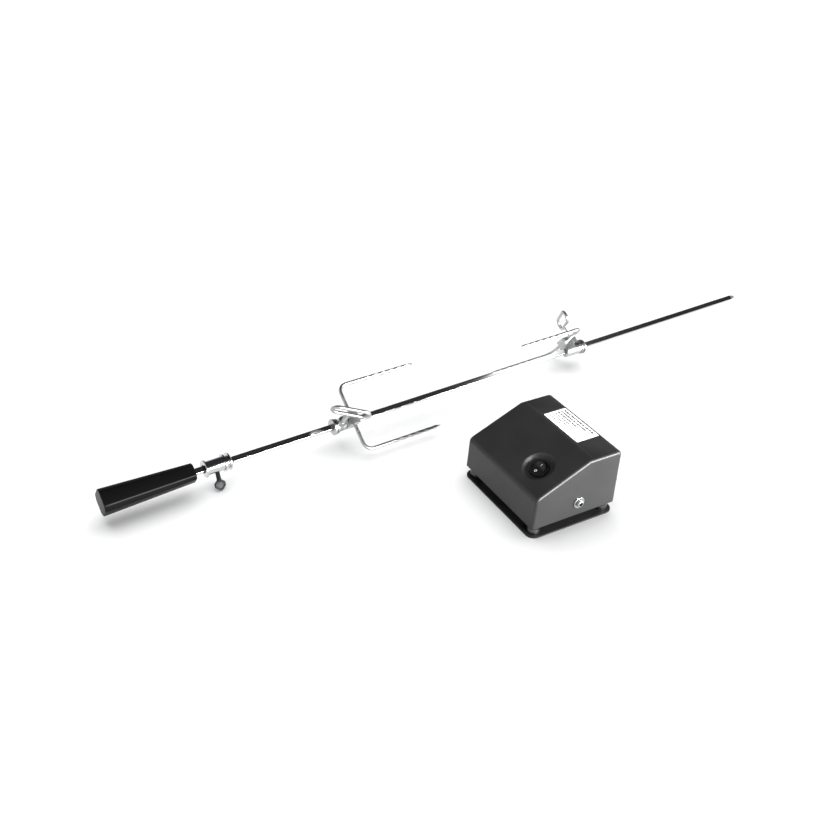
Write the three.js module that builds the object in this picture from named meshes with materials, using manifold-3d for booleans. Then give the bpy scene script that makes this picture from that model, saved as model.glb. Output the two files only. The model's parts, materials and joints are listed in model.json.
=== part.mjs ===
// Rotisserie kit for a grill: a square spit with a handle, a supporting collar and two
// forks, lying beside the battery motor unit that turns it. Millimetres, +Z up.
import * as THREE from 'three';
import { mergeVertices } from 'three/addons/utils/BufferGeometryUtils.js';
import Module from 'manifold-3d';

const wasm = await Module();
wasm.setup();

// ---------- driving dimensions ----------
const CLEAR = 0.1; // between faces that stand on each other
const FIT = 0.3; // between a pin and its hole, or a part and its pocket

// motor unit
const WIDTH = 110; // housing along X, low side to high side
const DEPTH = 129; // housing along Y
const LOW_WALL = 50.4; // top of the low wall above the floor
const HIGH_WALL = 79.6; // top of the housing above the floor
const RIDGE_X = 67; // where the sloping face meets the flat top
const WALL = 2.5;
const DRAFT = 0.015; // lean of the moulded walls
const EDGE_ROUND = 3.2;
const PLATE_THICK = 2;
const PLATE_MARGIN = 1;
const PLATE_CORNER = 10;
const SPACER_HEIGHT = 11;
const SPACER_RADIUS = 7;
const SPACER_INSET = 9.5; // spacer centre from the housing's edges
const FIXING_RADIUS = 2; // countersunk screws through plate and spacers
const TRAY_THICK = 2.5;

// switch in its round well on the slope
const WELL_ALONG = 30.5; // from the slope's lower edge
const WELL_Y = 37;
const WELL_RADIUS = 18.6;
const WELL_FLOOR_RADIUS = 14.2;
const WELL_DEPTH = 5;
const BEZEL_RADIUS = 11.5;
const BEZEL_THICK = 2.2;
const SWITCH_RADIUS = 9.8;
const SWITCH_LENGTH = 13;
const ROCKER_RADIUS = 8.2;
const ROCKER_TILT = 11; // degrees either side of level

// rating label
const LABEL_X = 75;
const LABEL_Y = 35.5;
const LABEL_WIDTH = 30;
const LABEL_LENGTH = 60;
const LABEL_RECESS = 0.5;

// screws that hold the cover to the tray
const COVER_SCREW_X = 58.5;
const COVER_SCREW_Z = 29;
const COVER_SCREW_RADIUS = 2;
const WASHER_RADIUS = 6.8;
const WASHER_THICK = 1.2;

// cells, two C size in a line
const CELL_RADIUS = 13.1;
const CELL_LENGTH = 50;
const CRADLE_WALL = 1.5;
const CRADLE_END = 2;
const CONTACT_GAP = 4; // room for the contact at each end
const DOOR_THICK = 2;
const DOOR_RIB = 1;

// gear train, with the drive socket in the middle of the plate
const DRIVE_X = WIDTH / 2;
const DRIVE_Y = DEPTH / 2;
const PINION_TEETH = 8;
const WHEEL_TEETH = 40;
const FINE_MODULE = 0.6;
const COARSE_MODULE = 0.8;
const BACKLASH = 0.3; // added to each centre distance
const AXLE_RADIUS = 1.5;
const AXLE_PLAY = 0.15;
const SHEET = 1.5; // gearbox plates
const SHEET_GAP = 2.4; // between the gearbox plates and the cell cradle
const PILLAR_RADIUS = 2.5;
const PIN_RADIUS = 1.5; // gearbox screws and the pillars' riveted ends
const GEARBOX_HEIGHT = 12.5; // between the two plates
const CAN_RADIUS = 12;
const CAN_LENGTH = 24;
const CAN_WALL = 1;
const MAGNET_THICK = 1.8;
const SHAFT_RADIUS = 1.2;
const HUB_RADIUS = 7;
const OUTPUT_PIVOT_RADIUS = 3;

// spit
const ROD_SIDE = 6.5;
const SPIT_TURN = 4.1; // degrees between the spit and the motor unit's X
const SPIT_X = -90; // cross wire of the first fork, from the housing's low front corner
const SPIT_Y = 244.5;
const ROD_ROLL = 38; // degrees about the spit's own axis
const TIP_AT = 672; // stations along the spit, from the first fork's cross wire
const BUTT_AT = -296;
const HANDLE_LENGTH = 102;
const HANDLE_BUTT = 26.5; // across flats
const HANDLE_FRONT = 19.2;
const HANDLE_CHAMFER = 0.19; // share of the width cut off each corner
const ROD_IN_HANDLE = 84;
const TIP_LENGTH = 9;
const TIP_SIDE = 3;

const COLLAR_AT = -182;
const COLLAR_LENGTH = 30;
const COLLAR_RADIUS = 8;
const FLANGE_RADIUS = 10;
const FLANGE_THICK = 1.8;
const COLLAR_GROOVE = 4.2;
const COLLAR_SCREW_AT = 14; // from the collar's handle end
const COLLAR_SCREW_ROLL = 157;
const COLLAR_SCREW_REACH = 28.5;
const PADDLE_WIDTH = 12.5;
const PADDLE_LENGTH = 12;
const PADDLE_THICK = 3;

const FORK_2_AT = 344;
const PRONG_LENGTH = 105;
const PRONG_HALF_SPAN = 41.6;
const PRONG_RADIUS = 2.2;
const PRONG_BEND = 10;
const WIRE_OFFSET = 12.8; // cross wire from the spit's axis
const FORK_BODY_BACK = -22;
const FORK_BODY_FRONT = 8;
const FORK_BODY_RADIUS = 7.6;
const FORK_SCREW_AT = -13;
const BOSS_RADIUS = 5.5;
const BOSS_TOP = 15.5;
const SCREW_RADIUS = 2.6;
const RING_CENTRE = 42; // from the spit's axis
const RING_LENGTH = 48;
const RING_WIDTH = 19;
const RING_WIRE = 2.2;
const RING_TURN_1 = -28; // degrees that each ring is turned about its screw
const RING_TURN_2 = 68;

// ---------- derived places ----------
const rad = THREE.MathUtils.degToRad;
const BASE_Z = PLATE_THICK + SPACER_HEIGHT; // underside of housing and tray
const TRAY_TOP = BASE_Z + TRAY_THICK;
const SLOPE = Math.atan2(HIGH_WALL - LOW_WALL, RIDGE_X);
const WELL_X = WELL_ALONG * Math.cos(SLOPE);
const WELL_Z = LOW_WALL + WELL_ALONG * Math.sin(SLOPE);
const LOWER_SHEET = TRAY_TOP + 0.5;
const GEARS_FROM = LOWER_SHEET + SHEET;
const UPPER_SHEET = GEARS_FROM + GEARBOX_HEIGHT;
const ROD_HALF = ROD_SIDE / 2;
const BORE_HALF = ROD_HALF + FIT;
const COLLAR_BORE = ROD_HALF * Math.SQRT2 + FIT;
const FORK_ROLL_1 = ROD_ROLL;
const FORK_ROLL_2 = ROD_ROLL - 90;

const prongDrop = PRONG_HALF_SPAN * Math.sin(rad(-FORK_ROLL_2))
  - WIRE_OFFSET * Math.cos(rad(FORK_ROLL_2)) + PRONG_RADIUS;
const paddleDrop = COLLAR_SCREW_REACH * Math.sin(rad(COLLAR_SCREW_ROLL - 90))
  + (PADDLE_THICK / 2) * Math.cos(rad(COLLAR_SCREW_ROLL - 90));
const AXIS_HEIGHT = Math.max(prongDrop, paddleDrop);

// ---------- materials ----------
const finish = (color, roughness, metalness) =>
  new THREE.MeshStandardMaterial({ color, roughness, metalness });
const moulded = () => finish(0x303030, 0.55, 0);
const blackPaint = () => finish(0x121212, 0.5, 0.2);
const chrome = () => finish(0xd8dadd, 0.12, 1);
const steel = () => finish(0xa9acb0, 0.3, 1);
const darkCast = () => finish(0x4b4d50, 0.45, 0.7);
const glossBlack = () => finish(0x0c0c0d, 0.22, 0);
const paper = () => finish(0xf4f4f2, 0.6, 0);
const nylon = () => finish(0xe4e0d2, 0.5, 0);
const brass = () => finish(0xb89a52, 0.3, 1);
const cellSkin = () => finish(0x3b4a5c, 0.4, 0.3);

// ---------- solids ----------
function solid(geometry) {
  const bare = geometry.index ? geometry.toNonIndexed() : geometry.clone();
  bare.deleteAttribute('normal');
  bare.deleteAttribute('uv');
  const merged = mergeVertices(bare, 1e-4);
  return new wasm.Manifold(new wasm.Mesh({
    numProp: 3,
    vertProperties: new Float32Array(merged.attributes.position.array),
    triVerts: new Uint32Array(merged.index.array),
  }));
}

function geometryOf(shape) {
  const mesh = shape.getMesh();
  const geometry = new THREE.BufferGeometry();
  geometry.setAttribute('position', new THREE.BufferAttribute(mesh.vertProperties, 3));
  geometry.setIndex(new THREE.BufferAttribute(mesh.triVerts, 1));
  geometry.computeVertexNormals();
  return geometry;
}

const box = (x0, y0, z0, x1, y1, z1) => solid(new THREE.BoxGeometry(x1 - x0, y1 - y0, z1 - z0)
  .translate((x0 + x1) / 2, (y0 + y1) / 2, (z0 + z1) / 2));

// a body of revolution about Z; each profile point is [radius, z]
const turned = (profile, sides = 24) => solid(new THREE.LatheGeometry(
  profile.map(([radius, z]) => new THREE.Vector2(radius, z)), sides).rotateX(Math.PI / 2));

const disc = (radius, z0, z1, sides = 24) => turned(
  [[0, z0], [radius, z0], [radius, z1], [0, z1]], sides);

const tubeZ = (outer, inner, z0, z1, sides = 20) => turned(
  [[inner, z0], [outer, z0], [outer, z1], [inner, z1], [inner, z0]], sides);

const alongX = (shape) => shape.rotate([0, 90, 0]);
const alongY = (shape) => shape.rotate([-90, 0, 0]);
const union = (...shapes) => shapes.reduce((sum, shape) => sum.add(shape));
const cut = (shape, ...tools) => tools.reduce((rest, tool) => rest.subtract(tool), shape);

function wire(curve, radius, steps, sides = 10) {
  const section = new THREE.Shape();
  section.absarc(0, 0, radius, 0, 2 * Math.PI);
  return solid(new THREE.ExtrudeGeometry(section, {
    extrudePath: curve, steps, curveSegments: sides / 2, bevelEnabled: false,
  }));
}

function roundedRectangle(x0, y0, x1, y1, radius) {
  const shape = new THREE.Shape();
  shape.moveTo(x0 + radius, y0);
  shape.lineTo(x1 - radius, y0);
  shape.absarc(x1 - radius, y0 + radius, radius, -Math.PI / 2, 0);
  shape.lineTo(x1, y1 - radius);
  shape.absarc(x1 - radius, y1 - radius, radius, 0, Math.PI / 2);
  shape.lineTo(x0 + radius, y1);
  shape.absarc(x0 + radius, y1 - radius, radius, Math.PI / 2, Math.PI);
  shape.lineTo(x0, y0 + radius);
  shape.absarc(x0 + radius, y0 + radius, radius, Math.PI, 1.5 * Math.PI);
  return shape;
}

const slab = (shape, z0, z1, curveSegments = 6) => solid(new THREE.ExtrudeGeometry(shape,
  { depth: z1 - z0, bevelEnabled: false, curveSegments }).translate(0, 0, z0));

// ---------- the scene ----------
const kit = new THREE.Group();
const motorUnit = new THREE.Group();
const spit = new THREE.Group();
kit.add(motorUnit, spit);

function part(group, name, shape, material) {
  const mesh = new THREE.Mesh(geometryOf(shape), material);
  mesh.name = name;
  group.add(mesh);
  return mesh;
}

// ---------- housing ----------
// Section in X and Z, run below the base so that the cut leaves a sharp lower edge.
function housingBlock(inset) {
  const low = LOW_WALL - inset / Math.cos(SLOPE) + inset * Math.tan(SLOPE);
  const high = HIGH_WALL - inset;
  const ridge = RIDGE_X + inset * Math.tan(SLOPE / 2);
  const round = Math.max(EDGE_ROUND - inset, 0.8);
  const corners = [
    [inset, BASE_Z - 8], [WIDTH - inset, BASE_Z - 8], [WIDTH - inset, high],
    [ridge, high], [inset, low],
  ].map(([x, z]) => new THREE.Vector2(x, z));
  const radii = [0, 0, 1.6 * round, 0, 1.6 * round];
  const outline = new THREE.Shape();
  corners.forEach((corner, i) => {
    const before = corners[(i + corners.length - 1) % corners.length];
    const after = corners[(i + 1) % corners.length];
    const start = corner.clone().add(before.clone().sub(corner).setLength(radii[i]));
    const end = corner.clone().add(after.clone().sub(corner).setLength(radii[i]));
    if (i === 0) outline.moveTo(start.x, start.y);
    else outline.lineTo(start.x, start.y);
    if (radii[i] > 0) outline.quadraticCurveTo(corner.x, corner.y, end.x, end.y);
  });
  const geometry = new THREE.ExtrudeGeometry(outline, {
    depth: DEPTH - 2 * inset - 2 * round, curveSegments: 4,
    bevelEnabled: true, bevelSize: round, bevelThickness: round, bevelOffset: -round, bevelSegments: 4,
  });
  geometry.rotateX(Math.PI / 2).translate(0, DEPTH - inset - round, 0);
  const place = geometry.attributes.position;
  for (let i = 0; i < place.count; i += 1) {
    const lean = DRAFT * (place.getZ(i) - BASE_Z);
    place.setX(i, place.getX(i) + lean * (1 - (2 * place.getX(i)) / WIDTH));
    place.setY(i, place.getY(i) + lean * (1 - (2 * place.getY(i)) / DEPTH));
  }
  return solid(geometry);
}

// a shape made about the well's axis, moved onto the slope
const ontoSlope = (shape) => shape.rotate([0, -THREE.MathUtils.radToDeg(SLOPE), 0])
  .translate([WELL_X, WELL_Y, WELL_Z]);

const DOOR_SILL = TRAY_TOP + 1.5;
const doorBox = {
  y0: DEPTH / 2 - CELL_LENGTH - 2, y1: DEPTH / 2 + CELL_LENGTH + 2,
  z0: DOOR_SILL, z1: DOOR_SILL + 2 * CELL_RADIUS,
};
const DOOR_FACE = WIDTH - DRAFT * (doorBox.z1 - BASE_Z) - 0.2;
const DOOR_INSIDE = DOOR_FACE - DOOR_THICK - DOOR_RIB;

function housing() {
  const wellCup = ontoSlope(disc(WELL_FLOOR_RADIUS + 5, -WELL_DEPTH - 2, -1));
  const shell = cut(housingBlock(0), housingBlock(WALL)).add(wellCup.intersect(housingBlock(1)));
  const well = ontoSlope(turned([
    [0, -WELL_DEPTH], [WELL_FLOOR_RADIUS, -WELL_DEPTH], [WELL_FLOOR_RADIUS + 1.6, -WELL_DEPTH + 1.2],
    [WELL_RADIUS - 1.4, -1.4], [WELL_RADIUS, 0], [WELL_RADIUS + 0.6, 2], [0, 2],
  ], 36));
  const switchHole = ontoSlope(disc(SWITCH_RADIUS + FIT, -WELL_DEPTH - 6, 1));
  const labelRecess = box(LABEL_X - 1, LABEL_Y - 1, HIGH_WALL - LABEL_RECESS,
    LABEL_X + LABEL_WIDTH + 1, LABEL_Y + LABEL_LENGTH + 1, HIGH_WALL + 2);
  const screwHoles = alongY(disc(COVER_SCREW_RADIUS + FIT, -5, DEPTH + 5, 12))
    .translate([COVER_SCREW_X, 0, COVER_SCREW_Z]);
  const doorOpening = box(WIDTH - 6, doorBox.y0, doorBox.z0, WIDTH + 2, doorBox.y1, doorBox.z1);
  const belowBase = box(-5, -5, 0, WIDTH + 5, DEPTH + 5, BASE_Z);
  return cut(shell, well, switchHole, labelRecess, screwHoles, doorOpening, belowBase);
}
part(motorUnit, 'housing', housing(), moulded());

// ---------- battery door ----------
function batteryDoor() {
  const gap = FIT + 0.1;
  const panel = box(DOOR_FACE - DOOR_THICK, doorBox.y0 + gap, doorBox.z0 + gap,
    DOOR_FACE, doorBox.y1 - gap, doorBox.z1 - gap);
  const gripY = DEPTH / 2;
  const gripRadius = 9;
  const gripDepth = 0.9;
  const scoop = alongX(disc(gripRadius, -1, 3, 28)).translate([DOOR_FACE, gripY, doorBox.z1 - 8])
    .intersect(box(DOOR_FACE - gripDepth, gripY - gripRadius, doorBox.z1 - 13,
      DOOR_FACE + 2, gripY + gripRadius, doorBox.z1 - 3));
  const ribs = [-1, 1].map((side) => {
    const y = gripY + side * 0.72 * CELL_LENGTH;
    return box(DOOR_INSIDE, y - 1, doorBox.z0 + 2, DOOR_FACE - DOOR_THICK + 0.5, y + 1, doorBox.z1 - 2);
  });
  return cut(union(panel, ...ribs), scoop);
}
part(motorUnit, 'battery_door', batteryDoor(), moulded());

// ---------- back plate, spacers and their screws ----------
const fixings = [
  [SPACER_INSET, SPACER_INSET], [WIDTH - SPACER_INSET, SPACER_INSET],
  [SPACER_INSET, DEPTH - SPACER_INSET], [WIDTH - SPACER_INSET, DEPTH - SPACER_INSET],
];

function backPlate() {
  const sheet = slab(roundedRectangle(-PLATE_MARGIN, -PLATE_MARGIN, WIDTH + PLATE_MARGIN,
    DEPTH + PLATE_MARGIN, PLATE_CORNER), 0, PLATE_THICK, 5);
  const sinks = fixings.map(([x, y]) => turned([[0, -1], [FIXING_RADIUS + 3.2, -1],
    [FIXING_RADIUS + 2.2, 0], [FIXING_RADIUS + FIT, PLATE_THICK], [FIXING_RADIUS + FIT, 4], [0, 4]], 16)
    .translate([x, y, 0]));
  const driveHole = disc(HUB_RADIUS + 3, -1, 4).translate([DRIVE_X, DRIVE_Y, 0]);
  return cut(sheet, ...sinks, driveHole);
}
part(motorUnit, 'back_plate', backPlate(), blackPaint());

fixings.forEach(([x, y], i) => {
  const spacer = tubeZ(SPACER_RADIUS, FIXING_RADIUS + FIT, PLATE_THICK + CLEAR, BASE_Z - CLEAR)
    .translate([x, y, 0]);
  part(motorUnit, `plate_spacer_${i + 1}`, spacer, steel());
  const screw = turned([[0, CLEAR], [FIXING_RADIUS + 1.8, CLEAR], [FIXING_RADIUS, PLATE_THICK],
    [FIXING_RADIUS, TRAY_TOP + 3], [0, TRAY_TOP + 3]], 12).translate([x, y, 0]);
  part(motorUnit, `plate_screw_${i + 1}`, screw, steel());
});

// ---------- tray that closes the housing ----------
const CELL_X = DOOR_INSIDE - FIT - CELL_RADIUS;
const SHEET_X1 = CELL_X - CELL_RADIUS - CRADLE_WALL - SHEET_GAP;
const gearboxScrews = [[DRIVE_X - 22, DRIVE_Y - 40.5], [DRIVE_X - 22, DRIVE_Y - 0.5],
  [SHEET_X1 - 3, DRIVE_Y - 34.5]];
const TAB_INSET = WALL + 1;
const TAB_THICK = 2.4;
const TRAY_BOSS = 4.5;
const TRAY_BOSS_TOP = TRAY_TOP + 4;

function tray() {
  const edge = WALL + 0.6;
  const floorSheet = slab(roundedRectangle(edge, edge, WIDTH - edge, DEPTH - edge, 2), BASE_Z, TRAY_TOP, 2);
  const tabs = [TAB_INSET, DEPTH - TAB_INSET - TAB_THICK].map((y) => box(
    COVER_SCREW_X - 8, y, BASE_Z, COVER_SCREW_X + 8, y + TAB_THICK, COVER_SCREW_Z + 7));
  const cornerBosses = fixings.map(([x, y]) => disc(TRAY_BOSS, BASE_Z, TRAY_BOSS_TOP, 16)
    .translate([x, y, 0]));
  const pads = gearboxScrews.map(([x, y]) => disc(4, BASE_Z, LOWER_SHEET - CLEAR, 12).translate([x, y, 0]));
  const drive = disc(HUB_RADIUS + 2.2, 0, 40).translate([DRIVE_X, DRIVE_Y, 0]);
  const cornerHoles = fixings.map(([x, y]) => disc(FIXING_RADIUS + FIT, 0, 40, 12).translate([x, y, 0]));
  const padHoles = gearboxScrews.map(([x, y]) => disc(PIN_RADIUS + FIT, 0, 40, 12).translate([x, y, 0]));
  const coverHole = alongY(disc(COVER_SCREW_RADIUS + FIT, -5, DEPTH + 5, 12))
    .translate([COVER_SCREW_X, 0, COVER_SCREW_Z]);
  const body = union(floorSheet, ...tabs, ...cornerBosses, ...pads);
  return cut(body, drive, ...cornerHoles, ...padHoles, coverHole);
}
part(motorUnit, 'tray', tray(), moulded());

// ---------- cover screws with their washers ----------
function coverScrew() {
  const head = WASHER_THICK + FIT;
  const tip = -(TAB_INSET + TAB_THICK + 1.4);
  const body = turned([[0, tip], [COVER_SCREW_RADIUS, tip], [COVER_SCREW_RADIUS, head], [4, head],
    [4, head + 1.4], [3.2, head + 2.4], [0, head + 2.7]], 20);
  const socket = solid(new THREE.CylinderGeometry(2, 2, 3, 6).rotateX(Math.PI / 2)
    .translate(0, 0, head + 2.4));
  return cut(body, socket);
}
const washer = tubeZ(WASHER_RADIUS, COVER_SCREW_RADIUS + FIT, CLEAR, WASHER_THICK);
const fronts = [['front', 90, 0], ['back', -90, DEPTH]];
for (const [side, turn, y] of fronts) {
  const spot = [COVER_SCREW_X, y, COVER_SCREW_Z];
  part(motorUnit, `cover_screw_${side}`, coverScrew().rotate([turn, 0, 0]).translate(spot), steel());
  part(motorUnit, `cover_washer_${side}`, washer.rotate([turn, 0, 0]).translate(spot), darkCast());
}

// ---------- rating label ----------
part(motorUnit, 'rating_label', box(LABEL_X, LABEL_Y, HIGH_WALL - LABEL_RECESS + 0.02, LABEL_X + LABEL_WIDTH,
  LABEL_Y + LABEL_LENGTH, HIGH_WALL - LABEL_RECESS + 0.27), paper());

// ---------- round rocker switch ----------
const BLADE_AT = 4; // each terminal's distance from the switch's middle
function switchBody() {
  const seat = -WELL_DEPTH + CLEAR;
  const outer = turned([[0, seat - SWITCH_LENGTH], [SWITCH_RADIUS - 0.6, seat - SWITCH_LENGTH],
    [SWITCH_RADIUS, seat - SWITCH_LENGTH + 1], [SWITCH_RADIUS, seat], [BEZEL_RADIUS, seat],
    [BEZEL_RADIUS, seat + 0.8], [BEZEL_RADIUS - 0.9, seat + BEZEL_THICK], [0, seat + BEZEL_THICK]], 32);
  const cup = disc(ROCKER_RADIUS + 0.7, seat - 6.5, seat + 5);
  const slots = [-1, 1].map((side) => box(side * BLADE_AT - 0.6, -2.6, -40,
    side * BLADE_AT + 0.6, 2.6, seat - 6));
  return cut(outer, cup, ...slots);
}
part(motorUnit, 'switch_body', ontoSlope(switchBody()), glossBlack());

// The rocker is two shallow flats that meet over the pivot; it rests with its lower side pressed.
const ROCKER_PIVOT = -WELL_DEPTH - 1.2;
function rocker() {
  const cap = turned([[0, -2.4], [ROCKER_RADIUS - 1.2, -2.4], [ROCKER_RADIUS, -0.4], [ROCKER_RADIUS, 3.6],
    [ROCKER_RADIUS - 0.5, 4.2], [0, 4.2]], 28);
  const [left, right] = [-1, 1].map((side) => box(-20, -20, 0, 20, 20, 8)
    .rotate([0, side * ROCKER_TILT, 0]).translate([0, 0, 3.3]));
  return cut(cap, left.intersect(right)).rotate([0, -ROCKER_TILT, 0]).translate([0, 0, ROCKER_PIVOT]);
}
part(motorUnit, 'switch_rocker', ontoSlope(rocker()), glossBlack());

[-1, 1].forEach((side, i) => {
  const blade = box(side * BLADE_AT - 0.3, -2.2, -WELL_DEPTH - SWITCH_LENGTH - 7,
    side * BLADE_AT + 0.3, 2.2, -WELL_DEPTH - 8);
  part(motorUnit, `switch_terminal_${i + 1}`, ontoSlope(blade), brass());
});

// ---------- cells, their cradle and contacts ----------
const CELL_Z = TRAY_TOP + 1.7 + CELL_RADIUS;
const CELL_FROM = DEPTH / 2 - CELL_LENGTH;
const CRADLE_FROM = CELL_FROM - CONTACT_GAP - CRADLE_END;
const CRADLE_TO = DEPTH - CRADLE_FROM;

function cradle() {
  const x0 = CELL_X - CELL_RADIUS - CRADLE_WALL;
  const x1 = CELL_X + CELL_RADIUS - FIT;
  const y0 = CRADLE_FROM + CRADLE_END;
  const y1 = CRADLE_TO - CRADLE_END;
  const trough = box(x0, CRADLE_FROM, TRAY_TOP + CLEAR, x1, CRADLE_TO, CELL_Z - 1);
  const hollow = alongY(disc(CELL_RADIUS + 0.5, y0, y1, 24)).translate([CELL_X, 0, CELL_Z]);
  const reach = box(CELL_X - CELL_RADIUS + 4, y0, CELL_Z - 4, CELL_X + 20, y1, CELL_Z + 20);
  const ends = [CRADLE_FROM, y1].map((y) => box(x0, y, TRAY_TOP + CLEAR, x1, y + CRADLE_END, CELL_Z + 9));
  const bosses = fixings.map(([x, y]) => disc(TRAY_BOSS + FIT, 0, TRAY_BOSS_TOP + FIT, 16)
    .translate([x, y, 0]));
  return cut(cut(trough, hollow, reach).add(union(...ends)), ...bosses);
}
part(motorUnit, 'battery_cradle', cradle(), moulded());

const cell = turned([[0, 0], [CELL_RADIUS - 1, 0], [CELL_RADIUS, 1], [CELL_RADIUS, CELL_LENGTH - 3],
  [CELL_RADIUS - 1.2, CELL_LENGTH - 1.6], [3.4, CELL_LENGTH - 1.6], [3.2, CELL_LENGTH - 0.2],
  [0, CELL_LENGTH - 0.2]], 24);
[0, 1].forEach((i) => {
  const place = [CELL_X, CELL_FROM + i * CELL_LENGTH, CELL_Z];
  part(motorUnit, `cell_${i + 1}`, alongY(cell).translate(place), cellSkin());
});

class Coil extends THREE.Curve {
  constructor(radius, length, turns) {
    super();
    Object.assign(this, { radius, length, turns });
  }

  getPoint(t, target = new THREE.Vector3()) {
    const angle = 2 * Math.PI * this.turns * t;
    const radius = this.radius * (1 - 0.45 * t);
    return target.set(radius * Math.cos(angle), this.length * t, radius * Math.sin(angle));
  }
}
const springRoom = CONTACT_GAP - 1.6;
part(motorUnit, 'contact_spring', wire(new Coil(6, springRoom, 2.5), 0.4, 36, 6)
  .translate([CELL_X, CELL_FROM - CONTACT_GAP + 1.1, CELL_Z]), steel());
part(motorUnit, 'contact_plate', box(CELL_X - 6, DEPTH - CELL_FROM + 0.2, CELL_Z - 6,
  CELL_X + 6, DEPTH - CELL_FROM + 0.7, CELL_Z + 6), brass());

// ---------- gear train ----------
const centreDistance = (module, small, large) => (module * (small + large)) / 2 + BACKLASH;
const step = (from, distance, degrees) => [
  from[0] + distance * Math.cos(rad(degrees)), from[1] + distance * Math.sin(rad(degrees)),
];
const OUTPUT_AT = [DRIVE_X, DRIVE_Y];
const DIRECTIONS = [-75, -90, -60]; // from each wheel's centre to its pinion's
const SECOND_AT = step(OUTPUT_AT, centreDistance(COARSE_MODULE, PINION_TEETH, WHEEL_TEETH), DIRECTIONS[0]);
const FIRST_AT = step(SECOND_AT, centreDistance(FINE_MODULE, PINION_TEETH, WHEEL_TEETH), DIRECTIONS[1]);
const MOTOR_AT = step(FIRST_AT, centreDistance(FINE_MODULE, PINION_TEETH, WHEEL_TEETH), DIRECTIONS[2]);

// Teeth are short trapezoids; the first one is centred on the given direction.
function gear(module, teeth, direction, z0, z1) {
  const pitch = (2 * Math.PI) / teeth;
  const root = (module * teeth) / 2 - module * 1.15;
  const tip = (module * teeth) / 2 + module * 0.75;
  const outline = new THREE.Shape();
  for (let i = 0; i < teeth; i += 1) {
    const middle = rad(direction) + i * pitch;
    const corners = [[root, -0.3], [tip, -0.13], [tip, 0.13], [root, 0.3]];
    corners.forEach(([radius, share], j) => {
      const angle = middle + share * pitch;
      if (i + j === 0) outline.moveTo(radius * Math.cos(angle), radius * Math.sin(angle));
      else outline.lineTo(radius * Math.cos(angle), radius * Math.sin(angle));
    });
  }
  return slab(outline, z0, z1);
}

// a pinion has a gap where the wheel that it drives has a tooth
const facing = (direction) => direction + 180 + 180 / PINION_TEETH;
const LEVELS = [0, 1, 2].map((i) => [GEARS_FROM + 0.8 + i * 3.6, GEARS_FROM + 3.9 + i * 3.6]);

function outputGear() {
  const wheel = gear(COARSE_MODULE, WHEEL_TEETH, DIRECTIONS[0], ...LEVELS[0]);
  const top = UPPER_SHEET + SHEET;
  const hub = turned([[0, CLEAR + 1], [HUB_RADIUS, CLEAR + 1], [HUB_RADIUS, LEVELS[0][1]],
    [OUTPUT_PIVOT_RADIUS, LEVELS[0][1] + 0.3], [OUTPUT_PIVOT_RADIUS, top], [0, top]], 20);
  const socket = box(-BORE_HALF, -BORE_HALF, -1, BORE_HALF, BORE_HALF, LEVELS[0][1] - 2);
  return cut(union(wheel, hub), socket).translate([...OUTPUT_AT, 0]);
}
part(motorUnit, 'output_gear', outputGear(), nylon());
part(motorUnit, 'hub_bush', tubeZ(HUB_RADIUS + 1.9, HUB_RADIUS + FIT, BASE_Z, LOWER_SHEET - CLEAR)
  .translate([...OUTPUT_AT, 0]), brass());

function stageGear(pinionModule, level, pinionDirection, wheelDirection) {
  const [from, to] = [LEVELS[level], LEVELS[level + 1]];
  const pinion = gear(pinionModule, PINION_TEETH, facing(pinionDirection), from[0], to[0] + 0.2);
  const wheel = gear(FINE_MODULE, WHEEL_TEETH, wheelDirection, to[0], to[1] - 0.6);
  return cut(union(pinion, wheel), disc(AXLE_RADIUS + AXLE_PLAY, 0, 60, 16));
}
part(motorUnit, 'second_gear', stageGear(COARSE_MODULE, 0, DIRECTIONS[0], DIRECTIONS[1])
  .translate([...SECOND_AT, 0]), nylon());
part(motorUnit, 'first_gear', stageGear(FINE_MODULE, 1, DIRECTIONS[1], DIRECTIONS[2])
  .translate([...FIRST_AT, 0]), nylon());
[['second_axle', SECOND_AT], ['first_axle', FIRST_AT]].forEach(([name, place]) => {
  const axle = disc(AXLE_RADIUS, LOWER_SHEET, UPPER_SHEET + SHEET, 16);
  part(motorUnit, name, axle.translate([...place, 0]), steel());
});

// ---------- gearbox plates ----------
const LOWER_SHEET_X0 = DRIVE_X - 27;
const UPPER_SHEET_X0 = DRIVE_X - 19;
const SHEET_Y0 = DRIVE_Y - 56.5;
const SHEET_Y1 = DRIVE_Y + 15.5;
const pillarSpots = [SHEET_Y0 + 4, SHEET_Y1 - 3]
  .flatMap((y) => [[UPPER_SHEET_X0 + 3, y], [SHEET_X1 - 5, y]]);

function gearboxSheet(x0, z0, holes) {
  const sheet = slab(roundedRectangle(x0, SHEET_Y0, SHEET_X1, SHEET_Y1, 3), z0, z0 + SHEET, 2);
  const cuts = holes.map(([[x, y], radius]) => disc(radius, z0 - 1, z0 + SHEET + 1, 16).translate([x, y, 0]));
  return cut(sheet, ...cuts);
}
const commonHoles = [[SECOND_AT, AXLE_RADIUS + CLEAR], [FIRST_AT, AXLE_RADIUS + CLEAR],
  ...pillarSpots.map((spot) => [spot, PIN_RADIUS + CLEAR])];
part(motorUnit, 'gearbox_lower_plate', gearboxSheet(LOWER_SHEET_X0, LOWER_SHEET, [...commonHoles,
  [OUTPUT_AT, HUB_RADIUS + FIT], ...gearboxScrews.map((spot) => [spot, PIN_RADIUS + FIT])]), steel());
part(motorUnit, 'gearbox_upper_plate', gearboxSheet(UPPER_SHEET_X0, UPPER_SHEET, [...commonHoles,
  [OUTPUT_AT, OUTPUT_PIVOT_RADIUS + FIT], [MOTOR_AT, 4.5]]), steel());
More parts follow.
